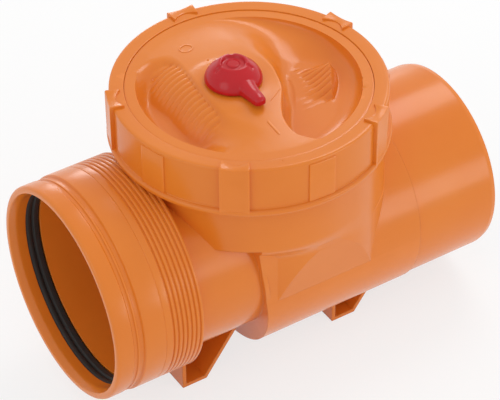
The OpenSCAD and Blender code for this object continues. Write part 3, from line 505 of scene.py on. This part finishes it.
def scoops(u, v, r, crease, radius):
    """How far each point is sunk towards the scoops' floor, from 0 to 1."""
    back_end = ease((smooth_line(LEFT_BACK, u) - v) / 24)
    left = (bowl(r, radius, LEFT_WALL) * ease((crease - u) / smooth_line(LEFT_RUN, v)) * back_end
            * ease((v + 66) / 34))
    along = np.clip((u - smooth_line(BRIDGE_EDGE, v, 5)) / smooth_line(RIGHT_RUN, v), 0, 1)
    crisp = ease((6 - v) / 26)
    steep = (1 - (1 - along) ** 2) * ease(along / 0.3)
    slack = (1 - (1 - along) ** 2) * ease(along / 0.6)
    turn = np.degrees(np.arctan2(v, u))
    back_wall = np.where(turn < 0, 1, ease((94 - turn) / 56))
    wall = RIGHT_WALL + RIGHT_WALL_BACK * ease((v - 2) / 40)
    right = bowl(r, radius, wall) * (crisp * steep + (1 - crisp) * slack) * back_wall
    return np.clip(left + right, 0, 1)


def left_grip(u, v, crease, base, radius, sunk):
    """Height of the barrelled strip on the bridge's flank, and where its grooves show."""
    inward = over(crease - 2 - u)
    front, rear = over(-16 - v), over(v - 36)
    crest = dome(((crease - 2) ** 2 + v * v) / radius ** 2)
    barrel = inward ** 2 / (33 + 20 * ease((v - 5) / 40))
    strip = crest - CREST_DROP - barrel - 5 * (front / 20) ** 2 - 3.5 * (rear / 24) ** 2
    strip = np.where(u > crease + 1, sunk, strip)
    shown = (ease((u + 66) / 9) * ease((crease - 0.5 - u) / 2.5) * ease((v + 38) / 6) * ease((63 - v) / 6)
             * ease((strip - base + 1.2) / 2))
    return strip, shown


def right_grip(u, v, sunk):
    """Height of the wedge that rises away from the bridge, and where its grooves show."""
    behind = smooth_line(RIGHT_CREST, v) - u
    wedge = WEDGE_TOP - 0.68 * behind + 0.0105 * behind ** 2
    wedge = np.where(behind < 0, WEDGE_TOP + 1.6 * behind, wedge)
    wedge = np.where(behind > WEDGE_LENGTH, sunk, wedge)
    slant = v + 0.62 * (u - 54)
    wedge = wedge - 3.0 * (over(slant + 1) / 9) ** 2 - 6 * (over(-18 - v) / 14) ** 2
    shown = (ease((behind + 0.5) / 1.5) * ease((30 - behind) / 14) * (0.3 + 0.7 * ease((u - 43) / 8))
             * ease((v + 38) / 6) * ease((13 - slant) / 6))
    return wedge, shown


def cover_height(u, v, sizes):
    """Height of the cover's top over its rim: crown, the knob's ground, scoops and ribbed grips."""
    u, v = np.asarray(u, float), np.asarray(v, float)
    depth, radius = sizes.scoop_depth / MM, sizes.scoop_radius / MM
    r = np.hypot(u, v)
    ground = CROWN - 0.4 - 0.012 * over(np.hypot(u - KNOB_U, v) - KNOB_GROUND_R) ** 2
    crown = higher(dome((r / radius) ** 2), ground, 0.4)
    crease = smooth_line(LEFT_CREASE, v)
    base = crown - (crown + depth) * scoops(u, v, r, crease, radius)
    sunk = -depth - 9
    strip, strip_shown = left_grip(u, v, crease, base, radius, sunk)
    wedge, wedge_shown = right_grip(u, v, sunk)
    surface = higher(higher(base, strip, 3.0 * ease((crease - 8 - u) / 8) + 0.4), wedge, 1.2)
    grooves = sizes.rib_rise / MM * (1 - rib_wave(v, sizes.rib_pitch / MM))
    return surface - grooves * np.clip(strip_shown + wedge_shown, 0, 1) - COVER_SINK


def circle(centre, radius, count):
    """Points round a circle in the cover's plan."""
    turns = [2 * math.pi * k / count for k in range(count)]
    return [(centre + radius * math.cos(a), radius * math.sin(a)) for a in turns]


def cover_points(sizes):
    """Plan points of the cover's top: the rim, the spindle's hole, then rings and the fine patches."""
    pitch = sizes.rib_pitch / MM
    rim, hole = circle(0, RIM_R, 360), circle(KNOB_U, SPINDLE_BORE, 48)
    clear = SPINDLE_BORE + 0.8
    inside = []
    radii = np.concatenate([np.arange(1.5, 66, 1.7), np.arange(66, 83, 1.0), np.arange(83, 87.4, 0.4),
                            np.arange(87.6, 93.5, 1.4)])
    for r in radii:
        count = 360 if r > 60 else max(12, int(2 * math.pi * r / 1.7))
        for u, v in circle(0, r, count):
            held = any(a - 0.5 < u < b + 0.5 and c - 0.5 < v < d + 0.5 for a, b, c, d in FINE_PATCHES)
            if not held and math.hypot(u - KNOB_U, v) > clear:
                inside.append((u, v))
    for a, b, c, d in FINE_PATCHES:
        for v in np.arange(c, d + 0.01, pitch / 10):
            inside += [(u, v) for u in np.arange(a, b + 0.01, 1.1)
                       if math.hypot(u, v) < 87 and math.hypot(u - KNOB_U, v) > clear]
    return rim, hole, inside


def fill_plan(rim, hole, inside):
    """Triangles between an outer loop and a hole, through the points inside."""
    plan = [Vector(p) for p in (*rim, *hole, *inside)]
    outer, inner = len(rim), len(hole)
    edges = [(k, (k + 1) % outer) for k in range(outer)]
    edges += [(outer + k, outer + (k + 1) % inner) for k in range(inner)]
    found = delaunay_2d_cdt(plan, edges, [], 0, 1e-6)
    origin = [source[0] for source in found[3]]
    middle = sum((Vector(p) for p in hole), Vector((0, 0))) / inner
    reach = (Vector(hole[0]) - middle).length * 0.99
    faces = []
    for face in found[2]:
        centre = sum((found[0][i] for i in face), Vector((0, 0))) / len(face)
        if (centre - middle).length > reach:
            faces.append(tuple(origin[i] for i in face))
    return faces


class VALVE_OT_housing(bpy.types.Operator):
    """Dress the housing, skin its shaft and wind the thread on its collar"""
    bl_idname = "valve.housing"
    bl_label = "Housing"

    def execute(self, context):
        sizes = context.scene.valve_sizes
        dress("housing_cad", "valve_body")
        self.shaft()
        radius = COLLAR_R
        turns, steps = 2.6, 120
        pitch, rise = sizes.thread_pitch / MM, sizes.thread_rise / MM
        top = BODY_HIGH[2] - 4
        sections = []
        for k in range(int(turns * steps) + 1):
            angle = 2 * math.pi * k / steps
            level = top - pitch * k / steps
            grow = rise * min(1, k / 8, (turns * steps - k) / 8)
            loop = [(radius - 0.6, level - 1.6), (radius + grow, level - 0.5), (radius + grow, level + 0.5),
                    (radius - 0.6, level + 1.6)]
            sections.append([(COVER_X + r * math.cos(angle), r * math.sin(angle), z) for r, z in loop])
        new_piece("collar_thread", [lofted(sections)], "housing", "housing")
        return {"FINISHED"}

    @staticmethod
    def shaft():
        """A smooth skin that carries the shaft down into the chamber, between its cheeks and its seat wall."""
        top, middle = RING_LOW[2] - 0.4, OUTLET_H
        flare, lean = math.tan(math.radians(CHEEK_TILT)), math.tan(math.radians(SEAT_TILT))
        far = 250
        turns = [2 * math.pi * k / 240 for k in range(240)]

        def round_at(shift, radius, turn):
            """Reach from the cover's axis to a circle shifted along the flow."""
            return shift * math.cos(turn) + math.sqrt(radius ** 2 - (shift * math.sin(turn)) ** 2)

        def skin(z, turn):
            """Reach of the outer face."""
            upper = float(higher(SHAFT_R, round_at(*UPPER_SKIN, turn), 1.0)) + 0.1
            share = float(ease((SHAFT_FLOOR + 0.5 - z) / SKIN_FADE))
            return upper * (1 - share) + round_at(*LOWER_SKIN, turn) * share

        def core(z, turn):
            """Reach of the inner face."""
            share = min(1, max(0, (CORE_TOP - z) / CORE_FADE))
            across = CHAMBER_R - HALF_WALL + (z - middle) * flare
            return min((SHAFT_R - HALF_WALL) * (1 - share) + round_at(*SKIN_CORE, turn) * share,
                       across / max(0.01, abs(math.sin(turn))))

        def column(levels, reach):
            return lofted([[(COVER_X + reach(z, a) * math.cos(a), reach(z, a) * math.sin(a), z) for a in turns]
                           for z in levels])

        def along_flow(loop, low, high):
            return lofted([[(x, y, z) for y, z in loop] for x in (low, high)])
        levels = [middle + 0.5, *np.arange(100, 156, 1.0), 170, 185, top]
        made = new_piece("shaft_moulding", [column(levels, skin)], "housing_cad", "housing")
        half, high, bend = CHAMBER_R + PROUD, top + 10, middle + 52
        wide = half + (bend - middle) * flare
        cheeks = [(-half, middle), (half, middle), (wide, bend), (wide + 40, bend + 26), (wide + 40, high),
                  (-wide - 40, high), (-wide - 40, bend + 26), (-wide, bend)]
        combine(made, along_flow(cheeks, -far, far), "INTERSECT")
        wall, floor = COVER_X - SEAT_BACK - PROUD, SHAFT_FLOOR + 0.2
        past = [(-far, middle - 10), (wall + 10 * lean, middle - 10), (wall - (floor - middle) * lean, floor),
                (-far, floor)]
        combine(made, lofted([[(x, y, z) for x, z in past] for y in (-far, far)]), "DIFFERENCE")
        combine(made, column([middle - 5, *np.arange(90, CORE_TOP + 0.5, 3), CORE_TOP, top + 5], core), "DIFFERENCE")
        inside, start = CHAMBER_R - HALF_WALL, COVER_X - SEAT_BACK + HALF_WALL
        room = [(-inside, middle - 5), (inside, middle - 5), (inside, SHAFT_FLOOR + 1), (-inside, SHAFT_FLOOR + 1)]
        combine(made, along_flow(room, start, COVER_X + 58), "DIFFERENCE")
        bore = [(BORE_R * math.cos(a), middle + BORE_R * math.sin(a)) for a in turns]
        combine(made, along_flow(bore, start, BODY_HIGH[0] + 10), "DIFFERENCE")
        made.data.shade_smooth()
        made.data.set_sharp_from_angle(angle=math.radians(9))


class VALVE_OT_socket(bpy.types.Operator):
    """Turn the inlet socket with its lip, recess and grooves, and its seal"""
    bl_idname = "valve.socket"
    bl_label = "Inlet socket"

    def execute(self, context):
        outer = SOCKET_HIGH[2] - INLET_H
        bore, neck = 80.3, 78.25
        lip = outer - 0.8
        deep = outer - 2.2
        x = MOUTH_X
        end = SOCKET_HIGH[0]
        stop = x + 68
        outline = [(x, bore + 2.4, 0.8), (x, lip, 3.2), (x + 14.2, lip, 0.8), (x + 15, deep, 0.5),
                   (x + 17.6, deep, 0.4), (x + 18, deep + 1, 0.4), (x + 19.6, deep + 1, 0.4), (x + 20, deep, 0.4),
                   (x + 23, deep, 0.6), (x + 24, outer, 0.8),
                   (x + 41.6, outer, 0.2), (x + 42, outer - 0.35, 0.15), (x + 42.4, outer, 0.2)]
        for k in range(7):
            middle = x + 49 + 3.9 * k
            outline += [(middle - 0.95, outer, 0.5), (middle - 0.3, outer - 1.3, 0.3),
                        (middle + 0.3, outer - 1.3, 0.3), (middle + 0.95, outer, 0.5)]
        outline += [(end, outer, 7.5), (end, neck, 0), (stop, neck, 0), (stop, bore, 0.5), (x + 27, bore, 0.3),
                    (x + 27, bore + 4.2, 0.3), (x + 14, bore + 4.2, 0.3), (x + 14, bore, 0.3), (x + 6, bore, 1.5)]
        new_piece("socket_moulding", [turned(soften(outline), "X", (0, INLET_H))], "housing", "housing",
                  ("inlet_socket",))
        seal = [(x + 14.1, bore + 4.1, 0.2), (x + 14.1, bore + 1.2, 0.5), (x + 16, bore, 1), (x + 18.5, bore, 0.5),
                (x + 19.3, bore + 1.4, 0.4), (x + 20.6, bore + 1.4, 0.4), (x + 21.4, bore, 0.5),
                (x + 25.4, bore, 1), (x + 26.9, bore + 1.6, 0.5), (x + 26.9, bore + 4.1, 0.2)]
        new_piece("socket_lip_seal", [turned(soften(seal), "X", (0, INLET_H))], "rubber", "housing",
                  ("socket_seal",))
        return {"FINISHED"}


class VALVE_OT_ring(bpy.types.Operator):
    """Turn the screw ring and set its grip lugs"""
    bl_idname = "valve.ring"
    bl_label = "Screw ring"

    def execute(self, context):
        sizes = context.scene.valve_sizes
        low, top = RING_LOW[2], RING_HIGH[2] - LUG_RISE
        lip = top - 7.5
        bead = RING_R + sizes.bead_out / MM
        inner = COVER_TOP + 0.75
        outline = [(low, RING_BORE, 0.5), (low, bead - 1.6, 1.0), (low + 1.3, bead, 1.4),
                   (low + 4.3, bead, 1.2), (low + 5.4, RING_R + 1.6, 0.6), (low + 5.8, RING_R, 0.5),
                   (top, RING_R, 2.2), (top - 0.15, RING_R - 4.5, 1.0), (inner, OPENING_R, 0.5),
                   (lip, OPENING_R, 0.4), (lip, RING_BORE, 0.5)]
        shells = [turned(soften(outline), "Z", (COVER_X, 0), 240)]
        step = 360 / sizes.lug_count
        for k in range(sizes.lug_count):
            shells.append(self.lug(math.radians(15.5 + step * k), k % 2 == 0, low, top, sizes))
        new_piece("ring_moulding", shells, "housing", "ring", ("screw_ring",), 32)
        return {"FINISHED"}

    @staticmethod
    def lug(angle, tall, low, top, sizes):
        """One grip lug: a hollow-faced block, and on tall ones a saddle with two wings over the ring's top."""
        half = sizes.lug_width / MM / 2
        reach = (sizes.tall_lug_out if tall else sizes.plain_lug_out) / MM
        root = RING_R - 2
        sections = []
        for s in (-1, -0.985, -0.94, -0.8, -0.6, -0.4, -0.2, 0, 0.2, 0.4, 0.6, 0.8, 0.94, 0.985, 1):
            shrink = 0.7 if abs(s) == 1 else 0.2 if abs(s) > 0.98 else 0
            out = RING_R + reach - 0.25 * reach * (1 - s * s) - shrink
            if tall:
                crest = top + 0.8 + 1.2 * s * s - shrink
                inner = RING_R - 4.4 - 4.6 * s * s + shrink
                loop = [(root, low + 0.4), (out - 0.6, low + 0.4 + shrink), (out, low + 1.0 + shrink),
                        (out, crest - 1.2), (out - 0.35, crest - 0.35), (out - 1.2, crest),
                        (inner + 0.9, crest), (inner + 0.25, crest - 0.25), (inner, crest - 0.9),
                        (inner, top - 4), (min(root, inner), top - 4.5)]
            else:
                crest = top - 3.0 - shrink
                loop = [(root, low + 5.4), (out - 0.4, low + 5.4), (out, low + 5.8), (out, crest - 0.9),
                        (out - 0.3, crest - 0.25), (out - 0.9, crest), (root, crest)]
            turn = angle + s * half / RING_R
            sections.append([(COVER_X + r * math.cos(turn), r * math.sin(turn), z) for r, z in loop])
        return lofted(sections)


class VALVE_OT_cover(bpy.types.Operator):
    """Mould the cover plate with its crown, scoops, ribbed grips and plug"""
    bl_idname = "valve.cover"
    bl_label = "Cover plate"

    def execute(self, context):
        sizes = context.scene.valve_sizes
        rim, hole, inside = cover_points(sizes)
        plan = np.array([*rim, *hole, *inside])
        heights = COVER_TOP + cover_height(plan[:, 0], plan[:, 1], sizes)
        heights[:len(rim)] = COVER_TOP
        points = [(COVER_X + u, v, z) for (u, v), z in zip(plan, heights)]
        faces = fill_plan(rim, hole, inside)

        low, under, flange = COVER_LOW[2], COVER_TOP - 20, COVER_TOP - 6.5
        plug, groove, floor_r, seat = 92.9, COVER_TOP - 20.5, 83.9, 88.3
        side = [(95.3, COVER_TOP - 0.05), (95.6, COVER_TOP - 0.15), (COVER_R, COVER_TOP - 0.4),
                (COVER_R, flange), (99.5, flange), (100, flange - 0.5), (100, flange - 7.5), (99.5, flange - 8),
                (plug, flange - 8), (plug, groove + 2.7), (seat, groove + 2.7), (seat, groove - 2.7),
                (plug, groove - 2.7), (plug, low + 0.8), (plug - 0.8, low), (84.5, low), (floor_r, low + 0.6),
                (floor_r, under)]
        turns = [math.radians(k) for k in range(len(rim))]
        count, above = len(rim), 0
        for r, z in side:
            start = len(points)
            points += [(COVER_X + r * math.cos(a), r * math.sin(a), z) for a in turns]
            faces += [(above + k, above + (k + 1) % count, start + (k + 1) % count, start + k) for k in range(count)]
            above = start
        start = len(points)
        points += [(COVER_X + u, v, under) for u, v in hole]
        round_hole = len(hole)
        faces += [(count + k, count + (k + 1) % round_hole, start + (k + 1) % round_hole, start + k)
                  for k in range(round_hole)]
        below = [(floor_r * math.cos(a), floor_r * math.sin(a)) for a in turns]
        for face in fill_plan(below, hole, []):
            faces.append(tuple(above + i if i < count else start + i - count for i in face))
        new_piece("cover_moulding", [(points, faces)], "housing", "cover", ("cover_plate",), 32)
        boss = [(under - 3.9, SPINDLE_BORE, 0.2), (under - 3.9, 12, 0.6), (under + 2, 12, 0),
                (under + 2, SPINDLE_BORE, 0)]
        new_piece("cover_boss", [turned(soften(boss), "Z", (KNOB_X, 0), 64)], "housing", "cover")
        return {"FINISHED"}


# Places of the marks in the cover's plan, and the pip on the ring by angle and radius
RING_MARK, BAR_MARK = (-19, 61), ((-17, -52), (-16.5, -68))
POINTER_LINE, COVER_PIP = ((-3.5, -35.5), (10, -28)), (-15.6, 34.4)
RING_PIP = (-108.1, 99)


def mark_profile(rise):
    """Section of a raised mark: shares of its half width, and heights over the surface."""
    return (-1, -0.6), (-1, rise * 0.6), (-0.5, rise), (0.5, rise), (1, rise * 0.6), (1, -0.6)


class VALVE_OT_marks(bpy.types.Operator):
    """Set the position marks, pips and pointer line on cover and ring"""
    bl_idname = "valve.marks"
    bl_label = "Marks"

    def execute(self, context):
        sizes = context.scene.valve_sizes
        rise = sizes.mark_rise / MM

        def level(u, v):
            return COVER_TOP + float(cover_height(u, v, sizes))
        shells = [self.ring(RING_MARK, 5.2, 0.8, level, rise), self.bar(*BAR_MARK, 1.1, level, rise),
                  self.bar(*POINTER_LINE, 0.4, level, rise), self.pip(COVER_PIP, level, 0.9)]
        new_piece("cover_marks", shells, "housing", "cover")
        angle = math.radians(RING_PIP[0])
        spot = (RING_PIP[1] * math.cos(angle), RING_PIP[1] * math.sin(angle))
        new_piece("ring_pip", [self.pip(spot, lambda u, v: RING_HIGH[2] - LUG_RISE - 0.7, 1.0)], "housing", "ring")
        return {"FINISHED"}

    @staticmethod
    def ring(centre, radius, half, level, rise):
        """A raised ring that follows the surface."""
        sections = []
        for k in range(48):
            turn = 2 * math.pi * k / 48
            loop = []
            for out, lift in mark_profile(rise):
                u = centre[0] + (radius + out * half) * math.cos(turn)
                v = centre[1] + (radius + out * half) * math.sin(turn)
                loop.append((COVER_X + u, v, level(u, v) + lift))
            sections.append(loop)
        points = [p for loop in sections for p in loop]
        faces = [(i * 6 + k, i * 6 + (k + 1) % 6, (i + 1) % 48 * 6 + (k + 1) % 6, (i + 1) % 48 * 6 + k)
                 for i in range(48) for k in range(6)]
        return points, faces

    @staticmethod
    def bar(start, stop, half, level, rise):
        """A raised bar with round ends that follows the surface."""
        a, b = np.array(start, float), np.array(stop, float)
        along = (b - a) / np.linalg.norm(b - a)
        across = np.array((-along[1], along[0]))
        sections = []
        for t in np.linspace(0, 1, 15):
            middle = a + t * (b - a)
            near = min(t, 1 - t) * np.linalg.norm(b - a) / half
            width = half * math.sqrt(max(0.05, 1 - max(0, 1 - near) ** 2))
            loop = []
            for out, lift in mark_profile(rise):
                u, v = middle + out * width * across
                loop.append((COVER_X + u, v, level(u, v) + lift))
            sections.append(loop)
        return lofted(sections)

    @staticmethod
    def pip(spot, level, radius):
        """A small rounded pip."""
        loops = []
        for z, r in ((-0.5, 1.0), (0.3, 0.96), (0.6, 0.75), (0.8, 0.45), (0.85, 0.15)):
            loops.append([(COVER_X + spot[0] + radius * r * math.cos(math.radians(30 * k)),
                           spot[1] + radius * r * math.sin(math.radians(30 * k)), level(*spot) + z * radius)
                          for k in range(12)])
        return lofted(loops)


# Angles of the knob's notches in degrees
NOTCHES = (175, 65, -46)


class VALVE_OT_knob(bpy.types.Operator):
    """Mould the knob: flared dome, sunk and notched crown and a lever that grows out of it"""
    bl_idname = "valve.knob"
    bl_label = "Lock knob"

    def execute(self, context):
        base, height = KNOB_LOW[2], KNOB_HIGH[2] - KNOB_LOW[2]
        side = [(0, 0.01, 0), (0, 22.3, 0.8), (1.6, 22.5, 0.8), (5, 21.6, 2.5), (9.5, 18.6, 3), (13.4, 14.2, 2),
                (height - 0.6, 12.0, 0.8), (height, 11.0, 0.5), (height, 9.4, 0.5), (height - 2.4, 8.4, 0.5),
                (height - 2.4, 5.2, 0.4), (height - 1.3, 4.6, 0.5), (height - 1.3, 0.01, 0)]
        points, faces = turned(soften([(base + z, r, soft) for z, r, soft in side]), "Z", (KNOB_X, 0), 144)
        notched = []
        for x, y, z in points:
            turn = math.degrees(math.atan2(y, x - KNOB_X))
            r = math.hypot(x - KNOB_X, y)
            gap = min(abs((turn - stop + 180) % 360 - 180) for stop in NOTCHES)
            dent = 1.6 * float(ease((8 - gap) / 3)) * float(ease((r - 9.6) / 1.2)) * float(ease((16.5 - r) / 2.5))
            notched.append((x, y, z - dent * float(ease((z - base - 9) / 3))))
        stations = ((-2, 9.0, 12.0), (10, 9.2, 11.6), (17, 8.6, 10.4), (23, 7.0, 8.8), (29, 5.9, 7.6),
                    (34, 5.5, 7.2), (37.6, 4.9, 6.6), (39.4, 3.4, 5.4), (40, 1.8, 4.2))
        sections = []
        for reach, half, crest in stations:
            loop = [(-half, 0), (half, 0), (half, crest * 0.4)]
            loop += [(half * math.cos(math.radians(a)), crest * (0.4 + 0.6 * math.sin(math.radians(a))))
                     for a in range(15, 180, 15)]
            loop += [(-half, crest * 0.4)]
            sections.append([(KNOB_X + x, -reach, base + z) for x, z in loop])
        made = new_piece("knob_moulding", [(notched, faces), lofted(sections)], "knob", "lock",
                         ("lock_knob",), 60)
        melt = made.modifiers.new("melt", "REMESH")
        melt.mode, melt.voxel_size = "VOXEL", 0.45 * MM
        relax = made.modifiers.new("relax", "SMOOTH")
        relax.factor, relax.iterations = 0.5, 8
        bake_modifiers(made)
        made.data.shade_smooth()
        made.data.materials.clear()
        made.data.materials.append(finish("knob"))
        return {"FINISHED"}


class VALVE_OT_lock(bpy.types.Operator):
    """Dress the lock spindle's train"""
    bl_idname = "valve.lock"
    bl_label = "Lock train"

    def execute(self, context):
        dress("steel", "lock_spindle", "spindle_clip", "spindle_washer", "lock_finger", "finger_pin", "knob_screw")
        dress("rubber", "spindle_seals", "cover_seal")
        return {"FINISHED"}


class VALVE_OT_flap(bpy.types.Operator):
    """Dress the seat, the flap and its hinge"""
    bl_idname = "valve.flap"
    bl_label = "Seat and flap"

    def execute(self, context):
        dress("seat", "seat_ring")
        dress("bush", "hinge_bushes")
        dress("rubber", "flap_seal")
        dress("steel", "flap_plate", "flap_clamp_ring", "flap_rivets", "hinge_pin", "hinge_clips", "flap_horn")
        return {"FINISHED"}


def seen_directly(tree):
    """1 for rays from the camera, reflections and glass, which see the white backdrop; 0 for other rays."""
    paths = node(tree, "ShaderNodeLightPath", (-900, 300))
    both = node(tree, "ShaderNodeMath", (-600, 300), operation="ADD")
    tree.links.new(paths.outputs["Is Camera Ray"], both.inputs[0])
    tree.links.new(paths.outputs["Is Glossy Ray"], both.inputs[1])
    every = node(tree, "ShaderNodeMath", (-350, 300), operation="ADD", use_clamp=True)
    tree.links.new(both.outputs["Value"], every.inputs[0])
    tree.links.new(paths.outputs["Is Transmission Ray"], every.inputs[1])
    return every.outputs["Value"]


class VALVE_OT_stage(bpy.types.Operator):
    """Set the camera, the lights and the floor"""
    bl_idname = "valve.stage"
    bl_label = "Stage"

    def execute(self, context):
        scene = context.scene
        stage = scene.valve_stage
        scene.view_settings.view_transform = "Standard"
        self.camera(scene, stage)
        self.floor(scene, stage)
        self.world(scene, stage)
        self.area("key_light", (0.8, 0.45, 1.3), (0.0, 0.0, 0.15), 0.7, stage.key_power)
        self.area("back_light", (0.62, 1.45, 0.4), (0.0, 0.0, 0.2), 0.5, stage.back_power)
        self.area("fill_light", (-1.35, -0.45, 0.95), (0.0, 0.0, 0.15), 0.9, stage.fill_power)
        self.area("front_light", (0.9, -1.5, 0.25), (0.03, 0.0, 0.1), 0.8, stage.front_power)
        return {"FINISHED"}

    @staticmethod
    def camera(scene, stage):
        a, e, r = stage.azimuth, stage.elevation, stage.roll
        back = Vector((math.sin(a) * math.cos(e), -math.cos(a) * math.cos(e), math.sin(e)))
        level = Vector((math.cos(a), math.sin(a), 0))
        rise = back.cross(level)
        right = math.cos(r) * level + math.sin(r) * rise
        up = -math.sin(r) * level + math.cos(r) * rise
        data = bpy.data.cameras.new("camera")
        data.lens, data.sensor_width, data.sensor_fit = stage.lens, 36, "HORIZONTAL"
        data.clip_end = 20
        made = bpy.data.objects.new("camera", data)
        place = Vector((stage.target_x, 0, stage.target_z)) + stage.distance * back
        turn = Matrix((right, up, back)).transposed().to_4x4()
        made.matrix_world = Matrix.Translation(place) @ turn
        scene.collection.objects.link(made)
        scene.camera = made

    @staticmethod
    def floor(scene, stage):
        mesh = bpy.data.meshes.new("floor")
        reach, drop = 6.0, -0.0005
        mesh.from_pydata([(-reach, -reach, drop), (reach, -reach, drop), (reach, reach, drop),
                          (-reach, reach, drop)], [], [(0, 1, 2, 3)])
        made = bpy.data.materials.new("floor_white")
        made.use_nodes = True
        tree = made.node_tree
        tree.nodes.clear()
        link = tree.links.new
        matt = node(tree, "ShaderNodeBsdfDiffuse", (-300, 0), Color=(*stage.floor, 1))
        clear = node(tree, "ShaderNodeEmission", (-300, -200), Color=(1, 1, 1, 1))
        mix = node(tree, "ShaderNodeMixShader", (100, 0))
        end = node(tree, "ShaderNodeOutputMaterial", (400, 0))
        link(matt.outputs["BSDF"], mix.inputs[1])
        link(clear.outputs["Emission"], mix.inputs[2])
        share = node(tree, "ShaderNodeMath", (-100, 300), operation="MULTIPLY")
        share.inputs[1].default_value = 1 - stage.shadow
        link(seen_directly(tree), share.inputs[0])
        link(share.outputs["Value"], mix.inputs["Fac"])
        link(mix.outputs["Shader"], end.inputs["Surface"])
        mesh.materials.append(made)
        ground = bpy.data.objects.new("floor", mesh)
        scene.collection.objects.link(ground)

    @staticmethod
    def world(scene, stage):
        made = bpy.data.worlds.new("studio")
        made.use_nodes = True
        tree = made.node_tree
        tree.nodes.clear()
        link = tree.links.new
        lit = node(tree, "ShaderNodeBackground", (0, -100), Strength=stage.ambient, Color=(1, 1, 1, 1))
        plain = node(tree, "ShaderNodeBackground", (0, 100), Strength=1.0, Color=(1, 1, 1, 1))
        mix = node(tree, "ShaderNodeMixShader", (300, 0))
        end = node(tree, "ShaderNodeOutputWorld", (600, 0))
        link(seen_directly(tree), mix.inputs["Fac"])
        link(lit.outputs["Background"], mix.inputs[1])
        link(plain.outputs["Background"], mix.inputs[2])
        link(mix.outputs["Shader"], end.inputs["Surface"])
        scene.world = made

    @staticmethod
    def area(name, place, target, size, power):
        data = bpy.data.lights.new(name, "AREA")
        data.energy, data.shape, data.size = power, "DISK", size
        made = bpy.data.objects.new(name, data)
        made.location = place
        aim = Vector(target) - Vector(place)
        made.rotation_euler = aim.to_track_quat("-Z", "Y").to_euler()
        bpy.context.scene.collection.objects.link(made)


STEPS = (VALVE_OT_housing, VALVE_OT_socket, VALVE_OT_ring, VALVE_OT_cover, VALVE_OT_marks, VALVE_OT_knob,
         VALVE_OT_lock, VALVE_OT_flap, VALVE_OT_stage)


class VALVE_PT_looks(bpy.types.Panel):
    """Sizes, finishes and steps of the valve's looks"""
    bl_idname = "VALVE_PT_looks"
    bl_label = "Backwater valve"
    bl_space_type = "VIEW_3D"
    bl_region_type = "UI"
    bl_category = "Valve"

    def draw(self, context):
        for group in (context.scene.valve_sizes, context.scene.valve_finishes, context.scene.valve_stage):
            column = self.layout.column(align=True)
            for key in group.__annotations__:
                column.prop(group, key)
        for step in STEPS:
            self.layout.operator(step.bl_idname)


CLASSES = (ValveSizes, ValveFinishes, ValveStage, *STEPS, VALVE_PT_looks)


def register():
    for item in CLASSES:
        bpy.utils.register_class(item)
    bpy.types.Scene.valve_sizes = PointerProperty(type=ValveSizes)
    bpy.types.Scene.valve_finishes = PointerProperty(type=ValveFinishes)
    bpy.types.Scene.valve_stage = PointerProperty(type=ValveStage)


def unregister():
    del bpy.types.Scene.valve_stage
    del bpy.types.Scene.valve_finishes
    del bpy.types.Scene.valve_sizes
    for item in reversed(CLASSES):
        bpy.utils.unregister_class(item)


def main():
    register()
    for step in ("housing", "socket", "ring", "cover", "marks", "knob", "lock", "flap", "stage"):
        getattr(bpy.ops.valve, step)()


if __name__ == "__main__":
    main()
